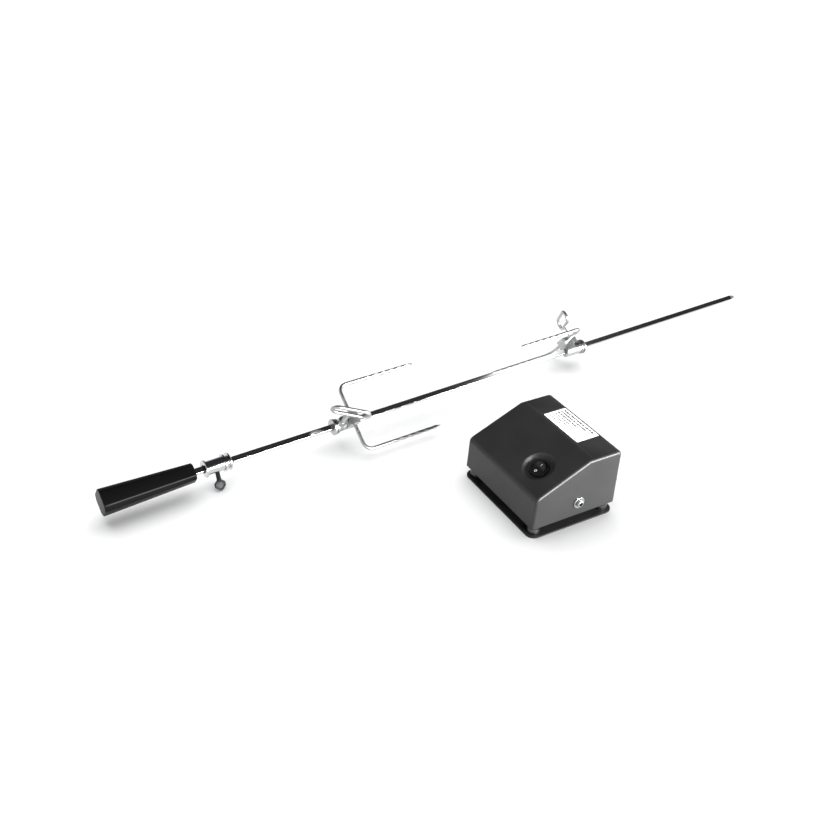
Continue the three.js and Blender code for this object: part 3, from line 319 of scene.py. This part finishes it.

# ---------- motor unit: cover screws ----------
# A socket-head screw in a dished steel washer holds the cover to the tray on the front wall and on
# the back wall. Head and washer are turned; the head's socket is a hexagon, painted black inside as shade.
# dark cast metal for the paddle screw; it also paints the shade inside the cover screws' hexagon sockets
dark_cast_and_socket_shade = finish("dark_casting_and_socket_shade", ((0.008, 0.0085, 0.009), (0.019, 0.0195, 0.02)), 240, (0.42, 0.56), 150,
                   1100, 0.00008, Metallic=0.85)
screw_steel = finish("screw_steel", ((0.40, 0.41, 0.42), (0.56, 0.57, 0.58)), 220, (0.20, 0.34), 180,
                     1200, 0.00003, Metallic=1.0)
HEAD_RADIUS, HEAD_TALL, HEX_RADIUS, HEX_DEEP = 4.0 * mm, 2.4 * mm, 2.4 * mm, 1.6 * mm
SCREW_HOLE, SHANK_RADIUS, DISH_FLOOR = 2.3 * mm, 2.0 * mm, 0.7
for side, outward in (("front", -1.0), ("back", 1.0)):
    washer_low, washer_high = (np.array(corner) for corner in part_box(f"cover_washer_{side}"))
    screw_low, screw_high = (np.array(corner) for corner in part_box(f"cover_screw_{side}"))
    middle = (washer_low + washer_high) / 2
    washer_radius = (washer_high[0] - washer_low[0]) / 2
    seat = washer_high[1] if outward < 0 else washer_low[1]
    thick = washer_high[1] - washer_low[1]
    axis = np.array([0, outward, 0])
    base = np.array([middle[0], seat, middle[2]])
    dish = [(SCREW_HOLE, 0), (washer_radius, 0), (washer_radius, 0.5 * thick),
            (washer_radius - 0.3 * mm, 0.9 * thick), (washer_radius - 0.8 * mm, thick),
            (washer_radius - 2.0 * mm, 0.75 * thick), (HEAD_RADIUS + 0.3 * mm, DISH_FLOOR * thick),
            (SCREW_HOLE, DISH_FLOOR * thick)]
    points, faces = skin(turned(dish, base, axis), loop=True)
    place_piece(f"dished_washer_{side}", points, faces, screw_steel, "motor_unit",
                (f"cover_washer_{side}",), crease=50)
    top = (screw_high[1] if outward > 0 else screw_low[1]) * outward - seat * outward
    tip = (screw_low[1] if outward > 0 else screw_high[1]) * outward - seat * outward
    head = top - HEAD_TALL
    body = [(0.6 * SHANK_RADIUS, tip), (SHANK_RADIUS, tip + 0.8 * mm), (SHANK_RADIUS, head),
            (HEAD_RADIUS, head), (HEAD_RADIUS, top - 0.9 * mm),
            (HEAD_RADIUS - 0.25 * mm, top - 0.35 * mm), (HEAD_RADIUS - 0.8 * mm, top),
            (HEX_RADIUS + 0.5 * mm, top), (HEX_RADIUS, top), (HEX_RADIUS, top - HEX_DEEP)]
    rings = turned(body, base, axis)
    u, v = across(axis)
    spin = np.linspace(0, 2 * math.pi, rings.shape[1], endpoint=False)
    hexagon = math.cos(math.pi / 6) / np.cos((spin + math.pi / 6) % (math.pi / 3) - math.pi / 6)
    for ring, height in ((-2, top), (-1, top - HEX_DEEP)):
        spoke = np.cos(spin)[:, None] * u + np.sin(spin)[:, None] * v
        rings[ring] = base + height * axis + (HEX_RADIUS * hexagon)[:, None] * spoke
    points, faces = skin(rings)
    screw = place_piece(f"socket_screw_{side}", points, faces, screw_steel, "motor_unit",
                        (f"cover_screw_{side}",), crease=40)
    # the faces inside the hexagon socket take the dark casting: painted shade for the recess, not the steel's
    # own colour
    screw.data.materials.append(dark_cast_and_socket_shade)
    for face in screw.data.polygons:
        from_seat = np.array(face.center) - base
        painted_shade_in_socket = np.linalg.norm(np.cross(from_seat, axis)) < HEX_RADIUS * 0.98
        if painted_shade_in_socket and from_seat @ axis > top - 2 * mm:
            face.material_index = 1

# ---------- motor unit: rating label ----------
# A white film label in a shallow recess of the flat top, with rounded corners and a slightly
# rolled edge. Its print is plain grey strokes that say nothing.
film = finish("white_film", ((0.70, 0.70, 0.69), (0.75, 0.75, 0.74)), 50, (0.42, 0.55), 40,
              600, 0.00003, Specular_IOR_Level=0.4)
ink = finish("grey_ink", ((0.025, 0.025, 0.026), (0.05, 0.05, 0.052)), 900, (0.5, 0.6), 300, 900, 0.00001)
label_low, label_high = (np.array(corner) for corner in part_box("rating_label"))
LABEL_CORNER, ROLLED_DOWN, ROLLED_IN, INK_THICK = 1.6 * mm, 0.1 * mm, 0.12 * mm, 0.03 * mm


def rounded_outline(x0, y0, x1, y1, radius, steps=6):
    """Corner points of a rectangle whose corners are quarter circles, run anticlockwise."""
    sweep = np.linspace(0, math.pi / 2, steps)
    outline = []
    for turn, (x, y) in enumerate(((x1 - radius, y1 - radius), (x0 + radius, y1 - radius),
                                   (x0 + radius, y0 + radius), (x1 - radius, y0 + radius))):
        angle = sweep + turn * math.pi / 2
        outline.append(np.stack([x + radius * np.cos(angle), y + radius * np.sin(angle)], -1))
    return np.concatenate(outline)


rings = []
for inset, height in ((0.0, label_low[2]), (0.0, label_high[2] - ROLLED_DOWN), (ROLLED_IN, label_high[2])):
    outline = rounded_outline(label_low[0] + inset, label_low[1] + inset, label_high[0] - inset,
                              label_high[1] - inset, LABEL_CORNER - inset)
    rings.append(np.concatenate([outline, np.full((len(outline), 1), height)], 1))
points, faces = skin(np.array(rings))
place_piece("film_label", points, faces, film, "motor_unit", ("rating_label",))

chance = np.random.default_rng(7)
# each line: its share across the label, its height in mm, the shares along it where it starts and ends
stroke_lines = (
    (0.88, 2.5, 0.06, 0.88), (0.74, 2.2, 0.04, 0.74), (0.60, 2.0, 0.04, 0.36), (0.60, 2.0, 0.46, 0.62),
    (0.46, 1.6, 0.05, 0.48), (0.33, 1.5, 0.05, 0.40), (0.20, 1.3, 0.05, 0.34))
cube = np.array([(x, y, z) for z in (0, 1) for x, y in ((0, 0), (1, 0), (1, 1), (0, 1))], float)
cube_faces = np.array([(3, 2, 1, 0), (4, 5, 6, 7), (0, 1, 5, 4), (1, 2, 6, 5), (2, 3, 7, 6), (3, 0, 4, 7)])
strokes, stroke_faces = [], []
label_wide, label_long = label_high[0] - label_low[0], label_high[1] - label_low[1]
for share, tall, first, last in stroke_lines:
    y, end = label_high[1] - first * label_long, label_high[1] - last * label_long
    while y > end:
        long = chance.uniform(1.2, 4.6) * mm
        low = np.array([label_low[0] + share * label_wide - tall * mm / 2, y - long,
                        label_high[2] - INK_THICK / 2])
        stroke_faces.append(cube_faces + 8 * len(strokes))
        strokes.append(low + cube * [tall * mm, long, INK_THICK])
        y -= long + chance.uniform(0.35, 0.8) * mm
place_piece("label_strokes", np.concatenate(strokes), np.concatenate(stroke_faces).tolist(), ink,
            "motor_unit", weighted=False)

# ---------- motor unit: round rocker switch ----------
# A snap-in switch at the bottom of a round well on the sloping face, in polished black plastic.
# The rocker's top is a shallow valley that tips over its pivot; its two signs are raised in white.
polished = finish("polished_black", ((0.004, 0.004, 0.0045), (0.008, 0.008, 0.0085)), 50, (0.20, 0.32), 60,
                  300, 0.00002, Specular_IOR_Level=0.5)
white_print = finish("white_print", ((0.46, 0.46, 0.45), (0.56, 0.56, 0.55)), 400, (0.4, 0.5), 300,
                     900, 0.00001)
brass = finish("rolled_brass", ((0.55, 0.41, 0.17), (0.68, 0.53, 0.25)), 180, (0.2, 0.34), 160,
               900, 0.00002, Metallic=1.0)
moulded_copy("switch_body", "switch_bezel", polished, "motor_unit", "gloss_black")
for number in (1, 2):
    moulded_copy(f"switch_terminal_{number}", f"blade_terminal_{number}", brass, "motor_unit", "brass")

joints = {joint["name"]: joint for joint in frame["record"]["behaviour"]["joints"]}
LOW_WALL, HIGH_WALL = 50.4 * mm, 79.6 * mm
ROCKER_TILT, VALLEY_HEIGHT, VALLEY_BEND = math.radians(11), 3.15 * mm, 0.25 * mm
slope = math.atan2(HIGH_WALL - LOW_WALL, RIDGE_X)
slope_along = np.array([math.cos(slope), 0, math.sin(slope)])
slope_out = np.array([-math.sin(slope), 0, math.cos(slope)])
pivot = np.array(joints["switch_rock"]["pos_m"])


def on_rocker(local, tilt=ROCKER_TILT):
    """Points from the rocker's own axes to the frame: turned by the tilt about the pivot's axis,
    then laid along the slope, along Y and out of the slope."""
    x = local[..., 0] * math.cos(tilt) - local[..., 2] * math.sin(tilt)
    z = local[..., 0] * math.sin(tilt) + local[..., 2] * math.cos(tilt)
    return (pivot + x[..., None] * slope_along + local[..., 1, None] * np.array([0, 1, 0])
            + z[..., None] * slope_out)


def valley(x):
    """Height of the rocker's top: two flats that meet over the pivot in a soft bend, as the root
    of the flat's own height squared plus the bend squared."""
    return VALLEY_HEIGHT + np.sqrt((x * math.tan(ROCKER_TILT)) ** 2 + VALLEY_BEND ** 2)


spin = np.linspace(0, 2 * math.pi, 64, endpoint=False)
rings = []
for radius, height in ((7.0, -2.4), (7.4, -2.2), (8.2, -0.4), (8.2, 2.4)):
    rings.append(np.stack([radius * mm * np.cos(spin), radius * mm * np.sin(spin),
                           np.full(len(spin), height * mm)], -1))
for radius, drop in ((8.2, 0.5), (8.1, 0.2), (7.85, 0.05), (7.5, 0.0), (6, 0.0), (4.5, 0.0), (3, 0.0),
                     (1.5, 0.0), (0.5, 0.0)):
    x = radius * mm * np.cos(spin)
    rings.append(np.stack([x, radius * mm * np.sin(spin), valley(x) - drop * mm], -1))
points, faces = skin(on_rocker(np.array(rings)))
place_piece("rocker_cap", points, faces, polished, "rocker", ("switch_rocker",),
            weighted=False)

path = np.linspace(0, 2 * math.pi, 40, endpoint=False)
SIGN_WIRE, SIGN_RISE = 0.34 * mm, 0.35
OFF_AT, OFF_RADIUS, ON_AT, ON_HALF = -4.4 * mm, 1.2 * mm, 4.2 * mm, 1.4 * mm
ring_section = np.linspace(0, 2 * math.pi, 10, endpoint=False)
radial = OFF_RADIUS + SIGN_WIRE * np.cos(ring_section)
x = OFF_AT + np.cos(path)[:, None] * radial
y = np.sin(path)[:, None] * radial
z = valley(x) + SIGN_RISE * SIGN_WIRE * np.sin(ring_section)
points, faces = skin(on_rocker(np.stack([x, y, z], -1)), loop=True)
place_piece("off_sign", points, faces, white_print, "rocker", weighted=False)
along = np.linspace(-ON_HALF, ON_HALF, 9)
width = SIGN_WIRE * np.sqrt(np.clip(1 - (along / (1.45 * mm)) ** 8, 0, 1))
x = ON_AT + along[:, None] + 0 * ring_section
y = width[:, None] * np.cos(ring_section)
z = valley(x) + SIGN_RISE * SIGN_WIRE * np.sin(ring_section)
points, faces = skin(on_rocker(np.stack([x, y, z], -1)))
place_piece("on_sign", points, faces, white_print, "rocker", weighted=False)

# ---------- motor unit: cells and contacts ----------
# Two C cells lie in a moulded cradle behind the door. Each is a steel can in a printed wrap with a
# plain band at its button end; a wound spring and a brass plate press on their ends.
wrap = finish("cell_wrap", ((0.03, 0.055, 0.10), (0.045, 0.075, 0.13)), 70, (0.22, 0.34), 50,
              500, 0.00001, Coat_Weight=0.3)
wrap_band = finish("cell_band", ((0.42, 0.30, 0.13), (0.52, 0.38, 0.18)), 120, (0.22, 0.34), 60,
                   500, 0.00001, Metallic=0.9)
BAND_FROM, POLE = 36 * mm, 0.5 * mm
moulded_copy("battery_cradle", "cell_cradle", charcoal, "motor_unit", "moulded_shell")
moulded_copy("contact_plate", "brass_contact", brass, "motor_unit", "brass")
for number in (1, 2):
    low, high = (np.array(corner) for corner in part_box(f"cell_{number}"))
    radius, length = (high[0] - low[0]) / 2, high[1] - low[1]
    base = np.array([(low[0] + high[0]) / 2, low[1], (low[2] + high[2]) / 2])
    profile = np.array([(POLE, 0.35 * mm), (radius - 3 * mm, 0.35 * mm), (radius - 2.4 * mm, 0),
                        (radius - 0.9 * mm, 0), (radius - 0.3 * mm, 0.3 * mm), (radius, 1.0 * mm),
                        (radius, BAND_FROM), (radius, BAND_FROM + 0.01 * mm),
                        (radius, length - 3.2 * mm), (radius - 0.4 * mm, length - 2.2 * mm),
                        (radius - 1.4 * mm, length - 1.5 * mm), (3.6 * mm, length - 1.5 * mm),
                        (3.3 * mm, length - 0.3 * mm), (2.8 * mm, length), (POLE, length)])
    points, faces = skin(turned(profile, base, (0, 1, 0)))
    cell = place_piece(f"wrapped_cell_{number}", points, faces, wrap, "motor_unit",
                       (f"cell_{number}",), crease=40, weighted=False)
    cell.data.materials.append(wrap_band)
    for face in cell.data.polygons:
        if face.center.y > base[1] + BAND_FROM:
            face.material_index = 1

low, high = (np.array(corner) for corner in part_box("contact_spring"))
turns, strand, wide_turn, narrowing = 2.5, 0.4 * mm, 6.0 * mm, 0.45
angle = np.linspace(0, 2 * math.pi * turns, 120)
share = angle / angle[-1]
coil = wide_turn * (1 - narrowing * share)
middle = np.array([(low[0] + high[0]) / 2, low[1] + strand, (low[2] + high[2]) / 2])
spokes = np.stack([np.cos(angle), 0 * angle, np.sin(angle)], -1)
rise = (high[1] - low[1] - 2 * strand) * share
section = np.linspace(0, 2 * math.pi, 12, endpoint=False)
rings = (middle + coil[:, None, None] * spokes[:, None] + rise[:, None, None] * np.array([0, 1, 0])
         + strand * np.cos(section)[None, :, None] * spokes[:, None]
         + strand * np.sin(section)[None, :, None] * np.array([0, 1, 0]))
points, faces = skin(rings)
place_piece("wound_spring", points, faces, zinc, "motor_unit", ("contact_spring",),
            weighted=False)

# ---------- motor unit: gearbox and motor ----------
# Three reductions of moulded nylon gears run between two steel plates on pillars; a small can
# motor stands on the upper plate. The output gear carries the square drive socket.
nylon = finish("natural_nylon", ((0.62, 0.59, 0.50), (0.72, 0.69, 0.60)), 60, (0.34, 0.46), 70,
               800, 0.00003, Subsurface_Weight=0.1)
sheet_steel = finish("rolled_sheet", ((0.42, 0.43, 0.44), (0.56, 0.57, 0.58)), 90, (0.24, 0.40), 120,
                     700, 0.00002, stretch=(1, 12, 1), Metallic=1.0)
ferrite = finish("ferrite", ((0.02, 0.02, 0.021), (0.035, 0.035, 0.036)), 300, (0.5, 0.65), 200,
                 1000, 0.00004)
inner_parts = [
    ("output_gear", "drive_wheel", nylon, "output", "gear_nylon"),
    ("second_gear", "middle_wheel", nylon, "second_gear", "gear_nylon"),
    ("first_gear", "fast_wheel", nylon, "first_gear", "gear_nylon"),
    ("hub_bush", "bronze_bush", brass, "motor_unit", "brass"),
    ("gearbox_lower_plate", "lower_gear_plate", sheet_steel, "motor_unit", "plated_steel"),
    ("gearbox_upper_plate", "upper_gear_plate", sheet_steel, "motor_unit", "plated_steel"),
    ("first_axle", "fast_axle", screw_steel, "motor_unit", "plated_steel"),
    ("second_axle", "middle_axle", screw_steel, "motor_unit", "plated_steel"),
    ("motor_can", "drawn_can", zinc, "motor_unit", "plated_steel"),
    ("motor_end_cap", "brush_cap", charcoal, "motor_unit", "moulded_shell"),
    ("motor_rotor", "wound_rotor", screw_steel, "rotor", "plated_steel"),
    ("motor_magnet_1", "arc_magnet_1", ferrite, "motor_unit", "dark_cast_metal"),
    ("motor_magnet_2", "arc_magnet_2", ferrite, "motor_unit", "dark_cast_metal"),
]
inner_parts += [(f"gearbox_pillar_{n}", f"riveted_pillar_{n}", screw_steel, "motor_unit", "plated_steel")
                for n in range(1, 5)]
inner_parts += [(f"gearbox_screw_{n}", f"gearbox_fixing_{n}", zinc, "motor_unit", "plated_steel")
                for n in range(1, 4)]
for part in inner_parts:
    moulded_copy(*part)

# ---------- spit: rod ----------
# A bright chromed steel bar, square with slightly rounded corners, drawn to a blunt point at its
# free end. Its plating shows faint marks that run along the bar.
spin_joint = joints["spit_spin"]
spit_origin, spit_along = np.array(spin_joint["pos_m"]), np.array(spin_joint["axis"])
spit_turn = math.atan2(spit_along[1], spit_along[0])
chrome = finish("bright_chrome", ((0.54, 0.545, 0.55), (0.62, 0.625, 0.63)), 40, (0.05, 0.13), 90,
                260, 0.000012, stretch=(0.06, 1, 1), turn=spit_turn, Metallic=1.0)
satin_chrome = finish("satin_chrome", ((0.40, 0.405, 0.40), (0.52, 0.525, 0.52)), 130, (0.26, 0.40), 160,
                      420, 0.00002, Metallic=1.0)
ROD_HALF, ROD_ROLL, ROD_CORNER = 3.25 * mm, math.radians(38), 0.55 * mm
BUTT_AT, TIP_AT, HANDLE_LENGTH, ROD_IN_HANDLE = -296 * mm, 672 * mm, 102 * mm, 84 * mm
spit_level = np.cross([0, 0, 1], spit_along)
spit_level /= np.linalg.norm(spit_level)
roll_y = math.cos(ROD_ROLL) * spit_level + math.sin(ROD_ROLL) * np.array([0, 0, 1])
roll_z = np.cross(spit_along, roll_y)


def on_spit(station, y, z):
    """Stations along the spit and offsets in the rod's own rolled axes, to the frame."""
    return (spit_origin + np.asarray(station)[..., None] * spit_along
            + np.asarray(y)[..., None] * roll_y + np.asarray(z)[..., None] * roll_z)


def square_section(half, corner):
    """A square of the given half width whose corners are quarter circles."""
    return rounded_outline(-half, -half, half, half, corner, 5)


rod_from = BUTT_AT + HANDLE_LENGTH - ROD_IN_HANDLE
stations = [(rod_from, ROD_HALF - 0.3 * mm), (rod_from + 0.4 * mm, ROD_HALF)]
stations += [(station, ROD_HALF) for station in np.linspace(rod_from + 5 * mm, TIP_AT - 9.4 * mm, 40)]
stations += [(TIP_AT - 8.6 * mm, ROD_HALF - 0.12 * mm), (TIP_AT - 1.0 * mm, 1.75 * mm),
             (TIP_AT - 0.3 * mm, 1.45 * mm), (TIP_AT, 1.1 * mm)]
rings = []
for station, half in stations:
    section = square_section(half, min(ROD_CORNER, 0.5 * half))
    rings.append(on_spit(np.full(len(section), station), section[:, 0], section[:, 1]))
points, faces = skin(np.array(rings))
place_piece("square_rod", points, faces, chrome, "spit", ("spit_rod",), crease=28)

# ---------- spit: handle ----------
# A heat-proof handle in polished black plastic: eight-sided, tapering from the butt to the rod,
# with softened ridges and rounded ends. The rod is pressed into a square pocket.
handle_black = finish("handle_black", ((0.0010, 0.0010, 0.0011), (0.0022, 0.0022, 0.0024)), 26,
                      (0.30, 0.42), 34, 420, 0.00003, stretch=(0.25, 1, 1), turn=spit_turn,
                      Specular_IOR_Level=0.09)
HANDLE_BUTT, HANDLE_FRONT, HANDLE_CHAMFER, POCKET_HALF = 26.5 * mm, 19.2 * mm, 0.19, 3.55 * mm


def eight_sided(side, soft=0.2, steps=4):
    """A square with its corners cut off, each of the eight ridges eased by a short curve that
    leaves its two edges a share `soft` of the shorter edge from the ridge."""
    half = side / 2
    flat = half - side * HANDLE_CHAMFER
    ridges = np.array([(half, -flat), (half, flat), (flat, half), (-flat, half),
                       (-half, flat), (-half, -flat), (-flat, -half), (flat, -half)])
    ease = soft * side * HANDLE_CHAMFER * math.sqrt(2)
    t = np.linspace(0, 1, steps)[:, None]
    outline = []
    for before, ridge, after in zip(np.roll(ridges, 1, 0), ridges, np.roll(ridges, -1, 0)):
        start = ridge + ease * (before - ridge) / np.linalg.norm(before - ridge)
        end = ridge + ease * (after - ridge) / np.linalg.norm(after - ridge)
        outline.append((1 - t) ** 2 * start + 2 * t * (1 - t) * ridge + t ** 2 * end)
    return np.concatenate(outline)


ROUND = 1.0 * mm  # the ease of both ends' edges
bend = np.linspace(0, math.pi / 2, 7)
handle_stations = [(0.0, ROUND + 3 * mm)]
handle_stations += [(ROUND * (1 - math.cos(a)), ROUND * (1 - math.sin(a))) for a in bend]
handle_stations += [(station, 0.0) for station in np.linspace(8 * mm, HANDLE_LENGTH - 6 * mm, 12)]
handle_stations += [(HANDLE_LENGTH - ROUND + ROUND * math.sin(a), ROUND * (1 - math.cos(a))) for a in bend]
rings = []
for station, inset in handle_stations:
    side = HANDLE_BUTT + (HANDLE_FRONT - HANDLE_BUTT) * station / HANDLE_LENGTH - 2 * inset
    section = eight_sided(side)
    rings.append(on_spit(np.full(len(section), BUTT_AT + station), section[:, 0], section[:, 1]))
bearing = np.arctan2(section[:, 1], section[:, 0])
pocket = POCKET_HALF / np.maximum(np.abs(np.cos(bearing)), np.abs(np.sin(bearing)))
for station in (HANDLE_LENGTH, HANDLE_LENGTH - 1 * mm, HANDLE_LENGTH - ROD_IN_HANDLE - 0.3 * mm):
    rings.append(on_spit(np.full(len(section), BUTT_AT + station), pocket * np.cos(bearing),
                         pocket * np.sin(bearing)))
points, faces = skin(np.array(rings))
place_piece("spit_grip", points, faces, handle_black, "spit", ("spit_handle",), crease=50,
            weighted=False)

# ---------- spit: collar and its thumb screw ----------
# A chromed sleeve with a flange at each end of its groove, which runs in the grill's notch. The
# dark cast thumb screw has a rolled thread and a flat paddle with a sunk panel on each face.
moulded_copy("collar", "grooved_collar", chrome, "collar", "chromed_steel")
COLLAR_BORE, SCREW_RADIUS, THREAD_PITCH, THREAD_DEPTH = 4.9 * mm, 2.6 * mm, 1.0 * mm, 0.34 * mm
JOINT_UP_SCREW, SHANK_IN_HEAD = 20 * mm, 1.2 * mm


def threaded(centre, axis, start, end, radius, sides=24):
    """Rings of a threaded shank: the radius falls by the thread's depth as a triangle wave of the
    height less the turn, so that the crests wind round; both ends run down to a plain neck."""
    u, v = across(axis)
    height = np.arange(start, end, THREAD_PITCH / 6)
    angle = np.linspace(0, 2 * math.pi, sides, endpoint=False)
    phase = (height[:, None] / THREAD_PITCH - angle[None] / (2 * math.pi)) % 1
    wave = np.abs(2 * phase - 1)
    fade = np.clip(np.minimum(height - start, end - height) / THREAD_PITCH, 0, 1)[:, None]
    size = radius - THREAD_DEPTH * (1 - fade * wave)
    spoke = np.cos(angle)[:, None] * u + np.sin(angle)[:, None] * v
    return np.asarray(centre) + height[:, None, None] * np.asarray(axis) + size[..., None] * spoke[None]


def local_axes(joint_name, facing):
    """Origin on the spit's axis below a thumb screw, and the axes x along the spit, y and z up the
    screw. The joint's own point lies up the screw by a fixed length."""
    joint = joints[joint_name]
    up = np.array(joint["axis"])
    forward = spit_along * facing
    return np.array(joint["pos_m"]) - JOINT_UP_SCREW * up, forward, np.cross(up, forward), up


foot, forward, sideways, up = local_axes("collar_screw_turn", 1)
REACH, PADDLE_WIDE, PADDLE_LONG, PADDLE_THICK = 28.5 * mm, 12.5 * mm, 12.0 * mm, 3.0 * mm
shank_points, shank_faces = skin(threaded(foot, up, COLLAR_BORE, REACH - PADDLE_LONG + SHANK_IN_HEAD,
                                          SCREW_RADIUS))
edge = np.linspace(0, 2 * math.pi, 72, endpoint=False)
lobe = 1 + 0.10 * np.cos(2 * edge) - 0.10 * np.sin(edge) + 0.05 * np.cos(6 * edge)
paddle_x = np.clip(PADDLE_WIDE / 2 * np.cos(edge) * lobe, -PADDLE_WIDE / 2, PADDLE_WIDE / 2)
centre_z = REACH - PADDLE_LONG / 2
paddle_z = centre_z + PADDLE_LONG / 2 * np.clip(np.sin(edge) * (1 + 0.08 * np.cos(4 * edge)), -1, 1)
# each layer: its share of the outline and of half the thickness, from the panel over the rim
layers = [(0.05, 0.62), (0.55, 0.62), (0.66, 0.66), (0.74, 0.98), (0.86, 1.0), (0.95, 0.86), (1.0, 0.5),
          (1.0, 0.0)]
layers += [(scale, -thick) for scale, thick in layers[-2::-1]]
rings = np.array([foot + (scale * paddle_x)[:, None] * forward + (thick * PADDLE_THICK / 2) * sideways
                  + (centre_z + scale * (paddle_z - centre_z))[:, None] * up for scale, thick in layers])
paddle_points, paddle_faces = skin(rings)
faces = shank_faces + [[corner + len(shank_points) for corner in face] for face in paddle_faces]
place_piece("paddle_screw", np.concatenate([shank_points, paddle_points]), faces, dark_cast_and_socket_shade, "collar_screw",
            ("collar_screw",), crease=45, weighted=False)

# ---------- spit: the two forks ----------
# Each fork is a chromed body that slides on the rod, with a bent wire through its block for the
# two prongs and a thumb screw whose head is a closed loop of wire.
CROSS_FROM_SCREW, WIRE_OFFSET, HALF_SPAN, PRONG_BEND = 13 * mm, 12.8 * mm, 41.6 * mm, 10 * mm
PRONG_LENGTH, PRONG_RADIUS, POINT_LENGTH, PLAIN_LENGTH = 105 * mm, 2.2 * mm, 9 * mm, 34 * mm
TWIST_PITCH, TWIST_FADE, FLATTENING, BLUNT = 44 * mm, 8 * mm, 0.13, 0.06
RING_CENTRE, RING_LENGTH, RING_WIDTH, RING_WIRE = 42 * mm, 48 * mm, 19 * mm, 2.2 * mm
ring_turns = {1: math.radians(-28), 2: math.radians(68)}


def bent_path(step=1.2 * mm):
    """The prong wire's middle line, from one point to the other: straight, a quarter circle,
    straight across, a quarter circle, straight. Returns x, y, the heading and the run."""
    side = PRONG_LENGTH - PRONG_BEND
    cross = 2 * (HALF_SPAN - PRONG_BEND)
    arc = PRONG_BEND * math.pi / 2
    total = 2 * side + 2 * arc + cross
    run = np.linspace(0, total, int(total / step))
    bounds = np.cumsum([0, side, arc, cross, arc, side])
    turn_1 = np.clip((run - bounds[1]) / PRONG_BEND, 0, math.pi / 2)
    turn_2 = np.clip((run - bounds[3]) / PRONG_BEND, 0, math.pi / 2)
    x = (PRONG_LENGTH - np.clip(run, 0, side) - PRONG_BEND * np.sin(turn_1)
         + PRONG_BEND * (1 - np.cos(turn_2)) + np.clip(run - bounds[4], 0, side))
    y = (-HALF_SPAN + PRONG_BEND * (1 - np.cos(turn_1)) + np.clip(run - bounds[2], 0, cross)
         + PRONG_BEND * np.sin(turn_2))
    heading = math.pi - turn_1 - turn_2
    return x, y, heading, run, total


def prong_rings(origin, forward, sideways, up, around=20):
    """Sections set along the bent path. Towards each point the round section becomes a rounded
    square that twists evenly, and over the last stretch it shrinks to a point."""
    x, y, heading, run, total = bent_path()
    from_point = np.minimum(run, total - run)
    taper = np.sin(np.clip(from_point / POINT_LENGTH, 0, 1) * math.pi / 2)
    size = PRONG_RADIUS * np.clip(BLUNT + (1 - BLUNT) * taper, 0, 1)
    twisted = np.clip((PRONG_LENGTH - PLAIN_LENGTH - from_point) / TWIST_FADE, 0, 1)
    twist = 2 * math.pi * from_point / TWIST_PITCH
    angle = np.linspace(0, 2 * math.pi, around, endpoint=False)
    flat = FLATTENING * twisted[:, None] * np.cos(4 * (angle[None] - twist[:, None]))
    size = size[:, None] * (1 - FLATTENING * twisted[:, None] + flat)
    outward = np.stack([-np.sin(heading), np.cos(heading)], -1)
    offset = size * np.cos(angle)
    local_x = x[:, None] + offset * outward[:, :1]
    local_y = y[:, None] + offset * outward[:, 1:]
    local_z = WIRE_OFFSET + size * np.sin(angle)
    return (origin + local_x[..., None] * forward + local_y[..., None] * sideways + local_z[..., None] * up)


def loop_rings(centre, long_way, up, steps=96, around=18):
    """Round sections along a long ring with two straight sides and two half-circle ends."""
    half = (RING_LENGTH - RING_WIDTH) / 2
    radius = RING_WIDTH / 2 - RING_WIRE
    straight, arc = 2 * half, math.pi * radius
    run = np.linspace(0, 2 * (straight + arc), steps, endpoint=False)
    side = (run >= straight + arc).astype(float)
    part = run - side * (straight + arc)
    bend = np.clip((part - straight) / radius, 0, math.pi)
    sign = 1 - 2 * side
    a = sign * (-half + np.clip(part, 0, straight) + radius * np.sin(bend))
    b = sign * (-radius * np.cos(bend))
    out_a, out_b = sign * np.sin(bend), -sign * np.cos(bend)
    angle = np.linspace(0, 2 * math.pi, around, endpoint=False)
    through = np.cross(long_way, up)
    grow = RING_WIRE * np.cos(angle)
    return (centre + (a[:, None] + out_a[:, None] * grow)[..., None] * long_way
            + (b[:, None] + out_b[:, None] * grow)[..., None] * up
            + (RING_WIRE * np.sin(angle))[None, :, None] * through)


for number, facing in ((1, 1), (2, -1)):
    moulded_copy(f"fork_{number}_body", f"fork_{number}_slider", satin_chrome, f"fork_{number}",
                 "chromed_steel")
    foot, forward, sideways, up = local_axes(f"fork_{number}_screw_turn", facing)
    points, faces = skin(prong_rings(foot + CROSS_FROM_SCREW * forward, forward, sideways, up))
    place_piece(f"fork_{number}_prongs", points, faces, satin_chrome, f"fork_{number}",
                (f"fork_{number}_wire",), crease=60, weighted=False)
    turn = ring_turns[number]
    long_way = math.cos(turn) * forward + math.sin(turn) * sideways
    ring_points, ring_faces = skin(loop_rings(foot + RING_CENTRE * up, long_way, up), loop=True)
    shank_points, shank_faces = skin(threaded(foot, up, ROD_HALF + 0.3 * mm,
                                              RING_CENTRE - RING_WIDTH / 2 + SHANK_IN_HEAD, SCREW_RADIUS))
    faces = shank_faces + [[corner + len(shank_points) for corner in face] for face in ring_faces]
    place_piece(f"fork_{number}_ring_screw", np.concatenate([shank_points, ring_points]), faces, satin_chrome,
                f"fork_{number}_screw", (f"fork_{number}_screw",), crease=60,
                weighted=False)
